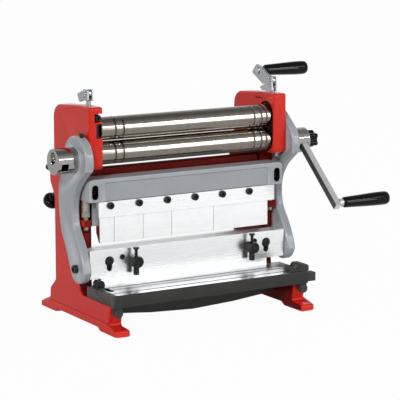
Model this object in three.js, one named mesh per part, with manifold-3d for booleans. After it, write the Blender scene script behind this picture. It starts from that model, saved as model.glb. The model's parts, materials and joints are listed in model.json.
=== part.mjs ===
// A small three-in-one sheet metal machine: bending rolls on top, a finger brake below
// them and a shear at the foot, all carried by two cast side frames.
// Millimetres, +X to the crank side, +Y to the rear, +Z up. While the pieces are built,
// X is zero midway between the frames, Y is zero at the front face of the brake fingers
// and Z is zero at the floor. The last step moves the whole to its natural origin, the
// middle of the space it takes on the floor.

import * as THREE from 'three';
import { mergeVertices } from 'three/addons/utils/BufferGeometryUtils.js';
import Module from 'manifold-3d';

const wasm = await Module();
wasm.setup();

// Clearances and construction aids
const fit = 0.3;
const overrun = 2;
const weldDistance = 0.0001;

// Brake fingers: the widths are shares of the brake's full width
const brakeWidth = 304.8;
const fingerWidthShares = [1 / 12, 2 / 12, 2 / 12, 3 / 12, 4 / 12];
const fingerThickness = 12;
const fingerHeight = 65.6;
const fingerTip = 3;
const fingerBevelHeight = 15.2;

// Side frames
const frameSideGap = 0.6;
const frameThickness = 23.3;
const frameEdge = 3;
const headRoof = 15.5;
const headWall = 3;
const headFloor = 1.3;
const headRearRadius = 22;
const headRearDrop = 7;
const headFlat = 40;
const headCorner = 8;
const columnDepth = 82;
const baseFillet = 18;
const baseReach = 100;
const baseFootSet = 6;
const baseCorner = 4;
const footTop = 10;
const footCrown = 12;
const frontFootReach = 27.5;
const rearFootReach = 47;
const footLength = 50;
const footRise = 5;
const footRamp = 8;
const rearWaistHeight = 52;
const rearWaistStep = 19;
const rearWaistFoot = 20;
const rearBossTop = 62;
const rearBossHigh = 52;
const rearBossLow = 14;
const rearBossFoot = -8;
const rearBossReach = 15;

// Bed, shear blades and what stands on the bed
const bedTop = 61;
const bedThickness = 17.2;
const bedFront = 83.8;
const bedRear = 0.6;
const bedEndInset = 0.7;
const bedLip = 6.8;
const bedLipHeight = 19.7;
const bedWebThickness = 12;
const bedWebInset = 3;
const bedWebSet = 1.2;
const bedWebEnd = 19;
const bedWebMiddle = 8;
const bedGrooveWidth = 2.6;
const bedGrooveDepth = 1.2;
const bedGroovePlaces = [68, 45, 30];
const bedSlotWidth = 8;
const bedSlotLength = 23;
const bedSlotSet = 7;
const bedSlotY = 43.5;
const bedBossRadius = 7;
const bedBossSet = 13;
const bedBossDrop = 27;
const bedBossStand = 3;
const bedEarReach = 14.4;
const bedEarDepth = 14;
const bedEarHeight = 14;
const bladeThickness = 8.2;
const lowerBladeHeight = 15;
const bladeLap = 3;
const bladeEndInset = 1.4;
const guideWidth = 27;
const guideDepth = 30;
const guideHeight = 11;
const guideChamfer = 4;
const guideReach = 1.4;
const stopWidth = 13;
const stopDepth = 16;
const stopHeight = 10;
const stopFront = 22;
const stopInset = 8;

// Ram: a front plate and a rear body with a V between them
const shearOpening = 12;
const ramHeight = 44;
const ramPlateThickness = 12;
const ramSideInset = 0.3;
const ramBladeStep = 7;
const veeDepth = 12;
const veeHalfWidth = 11.2;
const tipGap = 7.8;
const ribWidth = 8;
const ribDepth = 6;
const ribSet = 11.5;
const ribLap = 7;
const keyholeInset = 11;
const keyholeRadius = 7.5;
const keyholeSlot = 9;
const keyholeDepth = 6;
const keyholeDrop = 19;
const keyholeSlotDrop = 30;

// Upper beam of the brake
const beamHeight = 35;
const beamFront = 9.6;
const beamHeadGap = 15.3;
const beamLugLength = 20.7;
const beamWebReach = 5.8;
const beamWebHeight = 40.7;
const beamWebThickness = 11.1;
const beamCorner = 6;
const panelDepth = 1.6;
const panelInset = 7;
const panelRim = 6.5;
const panelCorner = 3;
const beamSlotSet = 10.9;
const beamSlotHead = 11;
const beamSlotShank = 8.7;
const beamSlotTop = 8.6;
const beamSlotBottom = 3.8;
const beamSlotStep = 17.5;
const clampBarThickness = 9.7;
const clampBarHeight = 24.6;
const clampBarOverhang = 6.4;
const clampScrewFirstShare = 0.0453;
const clampScrewPitchShare = 0.1637;
const clampScrewCount = 6;
const clampScrewDrop = 6.4;
const clampHeadRadius = 5.6;
const clampHeadHeight = 3.4;
const clampShankRadius = 3;
const clampShankDepth = 7;

// Bolts that hold the beam and screws that set its height
const beamBoltHead = 5.2;
const beamBoltHeadHeight = 8;
const beamBoltShank = 4;
const beamBoltDepth = 16;
const beamBoltDrop = 20.7;
const jackSet = 14.2;
const jackY = 16.4;
const jackRadius = 3.6;
const jackPadRadius = 6.2;
const jackPadHeight = 4;
const jackHexRadius = 7;
const jackHexHeight = 8;
const jackHexLift = 4.5;
const ledgeTop = 30.7;
const ledgeHeight = 10;
const ledgeReach = 14;
const ledgeInset = 8;
const jackTail = 6;

// Rear tie bar
const tieBarThickness = 17;
const tieBarSet = 6;
const tieBarHeight = 40;
const tieBarDrop = 5;

// Rolls, their gears and bearings
const shaftY = 8;
const rollRadius = 17.9;
const rollGap = 1.2;
const rollEndGap = 1;
const rollLeftGrooves = [24, 38];
const rollRightGrooves = [8.5, 18, 31];
const rollGrooveWidth = 2.4;
const rollGrooveDepth = 1.6;
const lowerJournal = 9.5;
const upperJournal = 9;
const rearJournalShort = 4.7;
const lowerJournalReach = 24.5;
const bushWall = 3.2;
const gearTeeth = 14;
const gearTip = 20.2;
const gearRoot = 13.5;
const gearWidth = 7;
const gearTipWidth = 1.6;
const gearRootWidth = 3.8;
const recessRadius = 21;
const recessDepth = 8;
const slotDepth = 13;
const gearSideSlotDepth = 11.8;
const blockHalf = 12;
const blockHalfHeight = 13;
const liftRange = 2.5;
const dropRange = 0.8;
const windowHalfHeight = 11;
const windowWidth = 11.5;

// Rear roll, its sliding blocks and its screws
const rearRollSet = 50;
const rearRollDrop = 9.3;
const rearSlope = THREE.MathUtils.degToRad(45);
const rearTravel = 12;
const rearScrewSet = 10;
const rearScrewRadius = 4;
const rearScrewLength = 98;
const rearKnobRadius = 13.7;
const rearKnobWidth = 15;
const rearKnobRoundShare = 0.25;
const rearKnobNeckShare = 0.5;
const rearKnobEndShare = 0.8;

// Top pressure screws, their forks and levers
const topScrewSet = 12;
const topScrewRadius = 3.8;
const forkRadius = 6.6;
const forkBase = 9;
const forkFloor = 0.8;
const forkHeight = 16;
const forkSlot = 4.6;
const leverThickness = 4;
const leverRoot = 6.2;
const leverPinRadius = 2.4;
const leverPinRise = 10;
const leftLeverAngle = THREE.MathUtils.degToRad(-20);
const leftLeverLength = 33;
const leftLeverLow = 5.6;
const leftLeverHigh = 9;
const rightLeverAngle = THREE.MathUtils.degToRad(16.26);
const rightLeverLength = 56;
const rightLeverLow = 7.5;
const rightLeverHigh = 6.5;
const topGripReach = 42.5;
const topStudRadius = 4;
const topStudLength = 8;
const topGripLength = 80;

// Handles: the grips share one profile, written as shares of length and radius
const gripRadius = 10.8;
const gripStudRadius = 3.2;
const gripStudGap = 0.4;
const gripProfileShares = [
  [0, 0.66], [0.02, 0.78], [0.06, 0.82], [0.3, 0.87], [0.75, 1], [0.9, 1], [0.96, 0.9], [1, 0.62],
];

// Crank, hubs and arms
const hubRadius = 20.2;
const eccentricity = 7.5;
const hubGap = 1.2;
const hubLength = 49.5;
const crankInset = 12;
const crankSquare = 11;
const crankSlope = THREE.MathUtils.degToRad(40.9);
const crankStart = 10;
const crankThrow = 144;
const crankOverhang = 8;
const crankCollarRadius = 6.4;
const crankCollarLength = 8;
const crankGripLength = 86;
const starRadius = 14.5;
const starLobeShare = 0.14;
const starLobes = 5;
const starStepsPerLobe = 8;
const starWidth = 16;
const starNeck = 4;
const starStudRadius = 4;
const armGap = 1.2;
const armThickness = 14.5;
const armEdge = 3;
const armRingRadius = 38;
const armRingSet = 4;
const armRingStart = THREE.MathUtils.degToRad(15);
const armRingEnd = THREE.MathUtils.degToRad(200);
const armFootRadius = 23.5;
const armFootStart = THREE.MathUtils.degToRad(180);
const armFootEnd = THREE.MathUtils.degToRad(345);
const armPinY = 0.5;
const armPinRise = 16.3;
const armPinRadius = 5;
const armPinHead = 6.5;
const armPinHeadHeight = 6;

// Hold-downs on the ram
const holdDownInsets = [51.5, 44.5];
const holdBracketWidth = 14;
const holdBracketDepth = 15.7;
const holdBracketDrop = 14;
const holdBracketHeight = 15;
const holdPinY = 23;
const holdPinRadius = 2.4;
const holdCapRadius = 4.7;
const holdCapHeight = 3;
const holdCapRise = 12;
const holdFootRadius = 4.5;
const holdFootHeight = 13;
const holdKnobRadius = 8.7;
const holdKnobWidth = 4;
const holdKnobDrop = 7.5;

// Facets
const rollSides = 28;
const holeSides = 20;
const smallSides = 12;
const hexSides = 6;
const arcSteps = 3;
const bevelSteps = 1;

// Places that follow from the sizes above, from the floor up
const baseTop = bedTop - bedThickness - fit;
const ramBottom = bedTop + shearOpening;
const ramTop = ramBottom + ramHeight;
const tipZ = ramTop + tipGap;
const fingerTop = tipZ + fingerHeight;
const beamBottom = fingerTop + fit;
const beamTop = beamBottom + beamHeight;
const headUnder = beamTop + beamHeadGap;
const shaftZ = headUnder + headFloor + recessRadius;
const upperZ = shaftZ + 2 * rollRadius + rollGap;
const headTop = upperZ + recessRadius + headRoof;
const hubZ = shaftZ - eccentricity;
const armPinZ = ramBottom + armPinRise;

// Places that follow from front to rear
const webFront = fingerThickness + fit;
const webBack = webFront + beamWebThickness;
const columnFront = webBack + 2 * fit;
const columnRear = columnFront + columnDepth;
const headFront = shaftY - recessRadius - headWall;
const baseFront = columnFront - baseReach;
const footFront = baseFront + baseFootSet - frontFootReach;
const footRear = columnRear + rearFootReach;
const rearRollY = shaftY + rearRollSet;
const rearRollZ = shaftZ - rearRollDrop;

// Places that follow from the middle outwards
const frameInner = brakeWidth / 2 + frameSideGap;
const frameOuter = frameInner + frameThickness;
const hubInner = frameOuter + hubGap;
const hubOuter = hubInner + hubLength;
const armInner = frameOuter + armGap;
const armOuter = armInner + armThickness;
const rollEnd = frameInner - rollEndGap;
const bedSlotX = frameInner + bedSlotSet;
const bedBossX = frameInner + bedBossSet;
const ribX = frameInner + ribSet;
const keyholeX = frameInner - keyholeInset;
const beamSlotX = frameInner + beamSlotSet;
const jackX = frameInner + jackSet;
const rearScrewX = frameInner + rearScrewSet;
const topScrewX = frameInner + topScrewSet;
const crankX = hubOuter - crankInset;
const sides = [-1, 1];
const sideName = { '-1': 'left', 1: 'right' };

// Materials
function finish(color, roughness, metalness) {
  return () => new THREE.MeshStandardMaterial({ color, roughness, metalness });
}
const redPaint = finish(0xd8281c, 0.35, 0.05);
const greyPaint = finish(0x8f979d, 0.4, 0.05);
const groundSteel = finish(0xd4d7d9, 0.35, 0.85);
const polishedSteel = finish(0xb9b5ae, 0.15, 1);
const chrome = finish(0xd9dadb, 0.08, 1);
const blackOxide = finish(0x222222, 0.45, 0.5);
const blackPlastic = finish(0x101010, 0.3, 0);
const bronze = finish(0x9c7440, 0.4, 0.8);
const brightSteel = finish(0xb5b8ba, 0.3, 0.9);

const machine = new THREE.Group();

// A closed solid from a three.js geometry: shared vertices merged, faces turned outwards
function solid(geometry) {
  const bare = geometry.clone();
  bare.deleteAttribute('normal');
  bare.deleteAttribute('uv');
  const merged = mergeVertices(bare, weldDistance);
  const vertices = new Float32Array(merged.attributes.position.array);
  const corners = [];
  let volume = 0;
  const a = new THREE.Vector3();
  const b = new THREE.Vector3();
  const c = new THREE.Vector3();
  for (let i = 0; i < merged.index.count; i += 3) {
    const [p, q, r] = [0, 1, 2].map((k) => merged.index.getX(i + k));
    if (p === q || q === r || r === p) continue;
    corners.push(p, q, r);
    a.fromArray(vertices, 3 * p);
    b.fromArray(vertices, 3 * q);
    c.fromArray(vertices, 3 * r);
    volume += a.dot(b.cross(c));
  }
  if (volume < 0) corners.reverse();
  const mesh = new wasm.Mesh({ numProp: 3, vertProperties: vertices, triVerts: new Uint32Array(corners) });
  return new wasm.Manifold(mesh);
}

function addPiece(name, shape, material) {
  const mesh = shape.getMesh();
  const geometry = new THREE.BufferGeometry();
  geometry.setAttribute('position', new THREE.BufferAttribute(new Float32Array(mesh.vertProperties), 3));
  geometry.setIndex(Array.from(mesh.triVerts));
  geometry.computeVertexNormals();
  const piece = new THREE.Mesh(geometry, material());
  piece.name = name;
  machine.add(piece);
}

// A box between two corners, given in any order
function box(xa, xb, ya, yb, za, zb) {
  const geometry = new THREE.BoxGeometry(Math.abs(xb - xa), Math.abs(yb - ya), Math.abs(zb - za));
  geometry.translate((xa + xb) / 2, (ya + yb) / 2, (za + zb) / 2);
  return solid(geometry);
}

// A round bar between two points
function rod(radius, from, to, count = smallSides) {
  const start = new THREE.Vector3(...from);
  const along = new THREE.Vector3(...to).sub(start);
  const geometry = new THREE.CylinderGeometry(radius, radius, along.length(), count);
  geometry.translate(0, along.length() / 2, 0);
  geometry.applyQuaternion(turnFromUp(along));
  geometry.translate(...from);
  return solid(geometry);
}

// A turned piece: radius and distance pairs along an axis that starts at a point
function turned(profile, from, direction, count = rollSides) {
  const points = profile.map(([radius, distance]) => new THREE.Vector2(radius, distance));
  const first = new THREE.Vector2(0, profile[0][1]);
  const last = new THREE.Vector2(0, profile[profile.length - 1][1]);
  const geometry = new THREE.LatheGeometry([first, ...points, last], count);
  geometry.applyQuaternion(turnFromUp(new THREE.Vector3(...direction)));
  geometry.translate(...from);
  return solid(geometry);
}

function turnFromUp(direction) {
  const up = new THREE.Vector3(0, 1, 0);
  return new THREE.Quaternion().setFromUnitVectors(up, direction.clone().normalize());
}

// Corners given as [u, v] or [u, v, radius]; a radius rounds its corner
function outline(corners, steps = arcSteps) {
  const points = [];
  corners.forEach(([u, v, radius], i) => {
    const corner = new THREE.Vector2(u, v);
    if (!radius) {
      points.push(corner);
      return;
    }
    const before = new THREE.Vector2(...corners.at(i - 1).slice(0, 2)).sub(corner);
    const after = new THREE.Vector2(...corners[(i + 1) % corners.length].slice(0, 2)).sub(corner);
    const half = Math.abs(Math.atan2(before.cross(after), before.dot(after))) / 2;
    const reach = radius / Math.tan(half);
    const middle = before.clone().normalize().add(after.clone().normalize()).normalize();
    const centre = corner.clone().addScaledVector(middle, radius / Math.sin(half));
    const start = corner.clone().addScaledVector(before.normalize(), reach).sub(centre);
    const end = corner.clone().addScaledVector(after.normalize(), reach).sub(centre);
    const sweep = Math.atan2(start.cross(end), start.dot(end));
    for (let k = 0; k <= steps; k += 1) {
      points.push(start.clone().rotateAround(new THREE.Vector2(), (sweep * k) / steps).add(centre));
    }
  });
  return points;
}

// A plate of any outline, between two places on the axis that it is square to
function plate(points, from, to, edge, basis) {
  const low = Math.min(from, to);
  const depth = Math.abs(to - from);
  const geometry = new THREE.ExtrudeGeometry(new THREE.Shape(points), {
    depth: depth - 2 * edge,
    bevelEnabled: edge > 0,
    bevelThickness: edge,
    bevelSize: edge,
    bevelOffset: -edge,
    bevelSegments: bevelSteps,
  });
  geometry.translate(0, 0, low + edge);
  geometry.applyMatrix4(basis);
  return solid(geometry);
}

// Square to X: the outline is drawn in Y and Z
function plateX(points, from, to, edge = 0) {
  const axes = [new THREE.Vector3(0, 1, 0), new THREE.Vector3(0, 0, 1), new THREE.Vector3(1, 0, 0)];
  return plate(points, from, to, edge, new THREE.Matrix4().makeBasis(...axes));
}

// Square to Y: the outline is drawn in X and Z
function plateY(points, from, to, edge = 0) {
  const axes = [new THREE.Vector3(1, 0, 0), new THREE.Vector3(0, 0, 1), new THREE.Vector3(0, -1, 0)];
  return plate(points, -from, -to, edge, new THREE.Matrix4().makeBasis(...axes));
}

// Square to Z: the outline is drawn in X and Y
function plateZ(points, from, to, edge = 0) {
  return plate(points, from, to, edge, new THREE.Matrix4());
}

function rectangle(ua, ub, va, vb, radius = 0) {
  const [left, right] = [Math.min(ua, ub), Math.max(ua, ub)];
  const [low, high] = [Math.min(va, vb), Math.max(va, vb)];
  return outline([[left, low, radius], [right, low, radius], [right, high, radius], [left, high, radius]]);
}

// An upright slot with round ends; low and high are the centres of its ends
function stadium(u, low, high, radius) {
  const points = [];
  const half = holeSides / 2;
  for (let k = 0; k <= half; k += 1) {
    const angle = (Math.PI * k) / half;
    points.push(new THREE.Vector2(u + radius * Math.cos(angle), high + radius * Math.sin(angle)));
  }
  for (let k = 0; k <= half; k += 1) {
    const angle = Math.PI + (Math.PI * k) / half;
    points.push(new THREE.Vector2(u + radius * Math.cos(angle), low + radius * Math.sin(angle)));
  }
  return points;
}

// A point on the incline of the rear roll: along runs down to the rear from the resting axis
function onIncline(along, across) {
  const y = rearRollY + along * Math.cos(rearSlope) + across * Math.sin(rearSlope);
  const z = rearRollZ - along * Math.sin(rearSlope) + across * Math.cos(rearSlope);
  return [y, z];
}

function inclineBox(from, to, halfWidth) {
  return outline([
    onIncline(from, -halfWidth),
    onIncline(to, -halfWidth),
    onIncline(to, halfWidth),
    onIncline(from, halfWidth),
  ]);
}

// Side frames: head, column, base and two feet, with every seat and pocket
function frameOutline() {
  const rise = baseTop - footCrown;
  const bossAt = (height) => rearRollZ - rearRollDrop + height - rearBossHigh;
  return outline([
    [footFront, 0],
    [footFront + footLength, 0],
    [footFront + footLength + footRamp, footRise],
    [footRear - footLength - footRamp, footRise],
    [footRear - footLength, 0],
    [footRear, 0],
    [footRear, footTop, baseCorner],
    [columnRear + rearWaistFoot, rearWaistFoot, baseCorner],
    [columnRear + rearWaistStep, rearWaistFoot + rise / 2, baseCorner],
    [columnRear, rearWaistHeight, baseCorner],
    [columnRear, bossAt(rearBossFoot), baseCorner],
    [columnRear + rearBossReach, bossAt(rearBossLow), baseCorner],
    [columnRear + rearBossReach, bossAt(rearBossHigh), baseCorner],
    [columnRear, bossAt(rearBossTop), baseCorner],
    [columnRear, headTop - headRearDrop, headRearRadius],
    [headFront + headFlat, headTop],
    [headFront, headTop, baseCorner],
    [headFront, headUnder, headCorner],
    [columnFront, headUnder, baseCorner],
    [columnFront, baseTop, baseFillet],
    [baseFront, baseTop, baseCorner],
    [baseFront + baseFootSet, footCrown, baseCorner],
    [footFront, footTop, baseCorner],
  ]);
}

function frameBody(side) {
  const rib = box(
    side * (ribX - ribWidth / 2), side * (ribX + ribWidth / 2),
    columnFront - ribDepth, columnFront + overrun,
    ramBottom - ribLap, ramTop + 2 * eccentricity + ribLap,
  );
  const ledge = box(
    side * (frameInner + ledgeInset), side * (frameOuter - frameEdge),
    columnFront - ledgeReach, columnFront + overrun,
    beamBottom - ledgeTop - ledgeHeight, beamBottom - ledgeTop,
  );
  return plateX(frameOutline(), side * frameInner, side * frameOuter, frameEdge).add(rib).add(ledge);
}

function sharedCuts(side) {
  const jackHole = rod(
    jackRadius + fit,
    [side * jackX, jackY, beamBottom - ledgeTop - ledgeHeight - overrun],
    [side * jackX, jackY, beamBottom - ledgeTop + overrun],
  );
  const boltHole = rod(
    beamBoltShank + fit,
    [side * beamSlotX, columnFront - overrun, beamTop - beamBoltDrop],
    [side * beamSlotX, columnFront + beamBoltDepth + fit, beamTop - beamBoltDrop],
  );
  const screwHole = rod(
    topScrewRadius + fit,
    [side * topScrewX, shaftY, upperZ + blockHalfHeight - liftRange - fit],
    [side * topScrewX, shaftY, headTop + overrun],
  );
  const [startY, startZ] = onIncline(blockHalf - rearTravel, 0);
  const [endY, endZ] = onIncline(rearScrewLength, 0);
  const rearHole = rod(
    rearScrewRadius + fit,
    [side * rearScrewX, startY, startZ],
    [side * rearScrewX, endY, endZ],
  );
  const rearPocket = plateX(
    inclineBox(-rearTravel - blockHalf - fit, blockHalf + fit, blockHalf + fit),
    side * (frameInner - overrun), side * (frameInner + slotDepth),
  );
  return [jackHole, boltHole, screwHole, rearHole, rearPocket];
}

// The channel in the head where the upper roll's block slides
function blockChannel(from, to) {
  return box(
    from, to,
    shaftY - blockHalf - fit, shaftY + blockHalf + fit,
    upperZ - blockHalfHeight - dropRange - fit, upperZ + blockHalfHeight + liftRange + fit,
  );
}

function leftFrame() {
  const inner = -frameInner + overrun;
  const channel = blockChannel(inner, -frameInner - slotDepth);
  const window = box(
    inner, -frameInner - windowWidth,
    headFront - overrun, shaftY - blockHalf,
    upperZ - windowHalfHeight, upperZ + windowHalfHeight,
  );
  const bore = rod(
    lowerJournal + bushWall + 2 * fit,
    [inner, shaftY, shaftZ], [-frameOuter - overrun, shaftY, shaftZ], holeSides,
  );
  const cuts = [...sharedCuts(-1), channel, window, bore];
  return cuts.reduce((body, cut) => body.subtract(cut), frameBody(-1));
}

function rightFrame() {
  const inner = frameInner - overrun;
  const recessFloor = frameInner + recessDepth;
  const recess = plateX(stadium(shaftY, shaftZ, upperZ + liftRange, recessRadius), inner, recessFloor);
  const channel = blockChannel(recessFloor - overrun, recessFloor + gearSideSlotDepth);
  const bore = rod(
    lowerJournal + bushWall + 2 * fit,
    [inner, shaftY, shaftZ], [frameOuter + overrun, shaftY, shaftZ], holeSides,
  );
  const cuts = [...sharedCuts(1), recess, channel, bore];
  return cuts.reduce((body, cut) => body.subtract(cut), frameBody(1));
}

addPiece('left_side_frame', leftFrame(), redPaint);
addPiece('right_side_frame', rightFrame(), redPaint);

// Rear tie bar
const tieTop = headUnder - tieBarDrop;
const tieFront = columnFront + tieBarSet;
addPiece('rear_tie_bar', plateX(
  rectangle(tieFront, tieFront + tieBarThickness, tieTop - tieBarHeight, tieTop, frameEdge),
  -frameInner + fit, frameInner - fit,
), redPaint);

// Bed table with its front lip, the seat of the lower blade and an arched web under the seat
function bedTable() {
  const half = frameOuter - bedEndInset;
  const under = bedTop - bedThickness;
  const lipRear = -bedFront + bedLip;
  const webHalf = frameInner - bedWebInset;
  const webRear = -bedRear - bladeThickness - bedWebSet;
  const web = plateY([
    new THREE.Vector2(-webHalf, under + overrun),
    new THREE.Vector2(-webHalf, bedWebEnd),
    new THREE.Vector2(-webHalf / 2, (bedWebEnd + 2 * bedWebMiddle) / 3),
    new THREE.Vector2(0, bedWebMiddle),
    new THREE.Vector2(webHalf / 2, (bedWebEnd + 2 * bedWebMiddle) / 3),
    new THREE.Vector2(webHalf, bedWebEnd),
    new THREE.Vector2(webHalf, under + overrun),
  ], webRear - bedWebThickness, webRear);
  let bed = box(-half, half, -bedFront, -bedRear, under, bedTop);
  bed = bed.add(box(-half, half, -bedFront, lipRear, bedTop - bedLipHeight, bedTop));
  bed = bed.add(web);
  for (const side of sides) {
    const boltZ = bedTop - bedBossDrop;
    const front = [side * bedBossX, -bedFront - bedBossStand, boltZ];
    const back = [side * bedBossX, lipRear, boltZ];
    const neck = box(
      side * (bedBossX - bedBossRadius), side * (bedBossX + bedBossRadius),
      -bedFront, lipRear, boltZ, under + overrun,
    );
    bed = bed.add(neck).add(rod(bedBossRadius, front, back, holeSides));
  }
  bed = bed.add(box(
    half - overrun, half + bedEarReach,
    -bedFront, -bedFront + bedEarDepth, under, under + bedEarHeight,
  ));
  for (const place of bedGroovePlaces) {
    const middle = -place;
    bed = bed.subtract(box(
      -half - overrun, half + overrun,
      middle - bedGrooveWidth / 2, middle + bedGrooveWidth / 2, bedTop - bedGrooveDepth, bedTop + overrun,
    ));
  }
  bed = bed.subtract(plateZ(
    rectangle(
      -bedSlotX - bedSlotWidth / 2, -bedSlotX + bedSlotWidth / 2,
      -bedSlotY - bedSlotLength / 2, -bedSlotY + bedSlotLength / 2, bedSlotWidth / 2 - fit,
    ),
    under - overrun, bedTop + overrun,
  ));
  const bladeHalf = brakeWidth / 2 - bladeEndInset + fit;
  const seat = box(
    -bladeHalf, bladeHalf,
    -bedRear - bladeThickness, overrun,
    bedTop - lowerBladeHeight - fit, bedTop + overrun,
  );
  return bed.subtract(seat);
}
addPiece('bed_table', bedTable(), blackOxide);

const bladeHalfLength = brakeWidth / 2 - bladeEndInset;
addPiece('lower_blade', box(
  -bladeHalfLength, bladeHalfLength,
  -bladeThickness, -fit,
  bedTop - lowerBladeHeight, bedTop,
), groundSteel);

// Side guide on the crank end of the bed, side stop on the other end
const guideOuter = frameOuter - bedEndInset + guideReach;
addPiece('side_guide', plateY([
  new THREE.Vector2(guideOuter - guideWidth, bedTop + fit),
  new THREE.Vector2(guideOuter, bedTop + fit),
  new THREE.Vector2(guideOuter, bedTop + guideHeight - guideChamfer),
  new THREE.Vector2(guideOuter - guideChamfer, bedTop + guideHeight),
  new THREE.Vector2(guideOuter - guideWidth + guideChamfer, bedTop + guideHeight),
  new THREE.Vector2(guideOuter - guideWidth, bedTop + guideHeight - guideChamfer),
], -bedFront, -bedFront + guideDepth), blackOxide);

const stopOuter = -frameOuter + stopInset;
addPiece('left_side_stop', box(
  stopOuter, stopOuter + stopWidth,
  -stopFront, -stopFront + stopDepth,
  bedTop + fit, bedTop + stopHeight,
), blackOxide);

// Ram: the front plate, the rear body that is grooved for the frame ribs, and the blade
const ramHalf = frameOuter - ramSideInset;
function ramPlate() {
  let body = plateX([
    new THREE.Vector2(-ramPlateThickness, ramBottom),
    new THREE.Vector2(0, ramBottom),
    new THREE.Vector2(0, ramTop - veeDepth),
    new THREE.Vector2(-veeHalfWidth * (ramPlateThickness / (ramPlateThickness + fingerTip)), ramTop),
    new THREE.Vector2(-ramPlateThickness, ramTop),
  ], -ramHalf, ramHalf);
  for (const side of sides) {
    const top = ramTop - keyholeDrop;
    const front = -ramPlateThickness - overrun;
    const floor = -ramPlateThickness + keyholeDepth;
    const round = rod(keyholeRadius, [side * keyholeX, front, top], [side * keyholeX, floor, top], holeSides);
    const tail = plateY(
      stadium(side * keyholeX, ramTop - keyholeSlotDrop, top, keyholeSlot / 2),
      front, floor,
    );
    body = body.subtract(round).subtract(tail);
  }
  return body;
}
addPiece('ram_plate', ramPlate(), groundSteel);

function ramBody() {
  const back = columnFront - fit;
  let body = plateX([
    new THREE.Vector2(fit, ramBottom + ramBladeStep),
    new THREE.Vector2(back, ramBottom + ramBladeStep),
    new THREE.Vector2(back, ramTop),
    new THREE.Vector2(fit + veeHalfWidth, ramTop),
    new THREE.Vector2(fit, ramTop - veeDepth),
  ], -ramHalf, ramHalf);
  for (const side of sides) {
    body = body.subtract(box(
      side * (ribX - ribWidth / 2 - fit), side * (ribX + ribWidth / 2 + fit),
      columnFront - ribDepth - fit, columnFront,
      ramBottom, ramTop + overrun,
    ));
  }
  return body;
}
addPiece('ram_body', ramBody(), groundSteel);

const upperBladeTop = ramBottom + ramBladeStep - fit;
addPiece('upper_blade', box(
  -bladeHalfLength, bladeHalfLength,
  fit, fit + bladeThickness,
  bedTop - bladeLap, upperBladeTop,
), groundSteel);

// Hold-downs: bracket on the ram plate, T-headed pin, thumb knob
sides.forEach((side, i) => {
  const x = side * (frameInner - holdDownInsets[i]);
  const bracketTop = ramTop - holdBracketDrop;
  const bracketBack = -ramPlateThickness - fit;
  const bracketFront = bracketBack - holdBracketDepth;
  const pinHole = rod(
    holdPinRadius + fit,
    [x, -holdPinY, bracketTop - holdBracketHeight - overrun], [x, -holdPinY, bracketTop + overrun],
  );
  const bracket = plateZ(
    rectangle(x - holdBracketWidth / 2, x + holdBracketWidth / 2, bracketFront, bracketBack, fit),
    bracketTop - holdBracketHeight, bracketTop,
  );
  addPiece(`${sideName[side]}_hold_down_bracket`, bracket.subtract(pinHole), blackOxide);

  const footTopZ = bracketTop - holdBracketHeight - fit;
  const capTop = bracketTop + holdCapRise + holdCapHeight;
  addPiece(`${sideName[side]}_hold_down_pin`, turned([
    [holdFootRadius, footTopZ - holdFootHeight],
    [holdFootRadius, footTopZ],
    [holdPinRadius, footTopZ],
    [holdPinRadius, capTop - holdCapHeight],
    [holdCapRadius, capTop - holdCapHeight],
    [holdCapRadius, capTop],
  ], [x, -holdPinY, 0], [0, 0, 1], holeSides / 2), blackOxide);

  const knobZ = bracketTop - holdKnobDrop;
  addPiece(`${sideName[side]}_hold_down_knob`, rod(
    holdKnobRadius,
    [x, bracketFront - fit, knobZ], [x, bracketFront - fit - holdKnobWidth, knobZ], holeSides,
  ), blackOxide);
});

// Upper beam: a block with a lug at each end and a web behind the fingers
const beamHalf = frameInner + beamLugLength;
function clampScrewX(i) {
  return brakeWidth * (clampScrewFirstShare + clampScrewPitchShare * i - 1 / 2);
}
const clampScrewZ = fingerTop - clampScrewDrop;

function upperBeam() {
  const back = columnFront - fit;
  const webHalf = frameInner + beamWebReach;
  const block = plateY(outline([
    [-beamHalf, beamBottom],
    [beamHalf, beamBottom],
    [beamHalf, beamTop, beamCorner],
    [-beamHalf, beamTop, beamCorner],
  ]), -beamFront, back);
  const webBottom = beamBottom - beamWebHeight;
  const web = box(-webHalf, webHalf, webFront, webBack, webBottom, beamTop - overrun);
  const panel = plateY(
    rectangle(
      -frameInner + panelInset, frameInner - panelInset,
      beamBottom - panelCorner * 2, beamTop - panelRim, panelCorner,
    ),
    -beamFront - overrun, -beamFront + panelDepth,
  );
  let body = block.add(web).subtract(panel);
  for (const side of sides) {
    const x = side * beamSlotX;
    const wide = beamSlotHead / 2;
    const narrow = beamSlotShank / 2;
    const low = beamBottom + beamSlotBottom;
    const high = beamTop - beamSlotTop;
    const headSlot = plateY(
      stadium(x, low + wide, high - wide, wide), -beamFront - overrun, -beamFront + beamSlotStep,
    );
    const shankSlot = plateY(
      stadium(x, low + wide, high - wide, narrow), -beamFront, back + overrun,
    );
    body = body.subtract(headSlot).subtract(shankSlot);
  }
  for (let i = 0; i < clampScrewCount; i += 1) {
    const x = clampScrewX(i);
    body = body.subtract(rod(
      clampShankRadius + fit,
      [x, 0, clampScrewZ], [x, webFront + clampShankDepth + fit, clampScrewZ],
    ));
  }
  return body;
}
addPiece('upper_beam', upperBeam(), greyPaint);

function clampBar() {
  const half = brakeWidth / 2 + clampBarOverhang;
  let bar = box(-half, half, -fit - clampBarThickness, -fit, fingerTop - clampBarHeight, fingerTop);
  for (let i = 0; i < clampScrewCount; i += 1) {
    bar = bar.subtract(rod(
      clampShankRadius + fit,
      [clampScrewX(i), -clampBarThickness - overrun, clampScrewZ], [clampScrewX(i), overrun, clampScrewZ],
    ));
  }
  return bar;
}
addPiece('clamp_bar', clampBar(), groundSteel);

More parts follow.
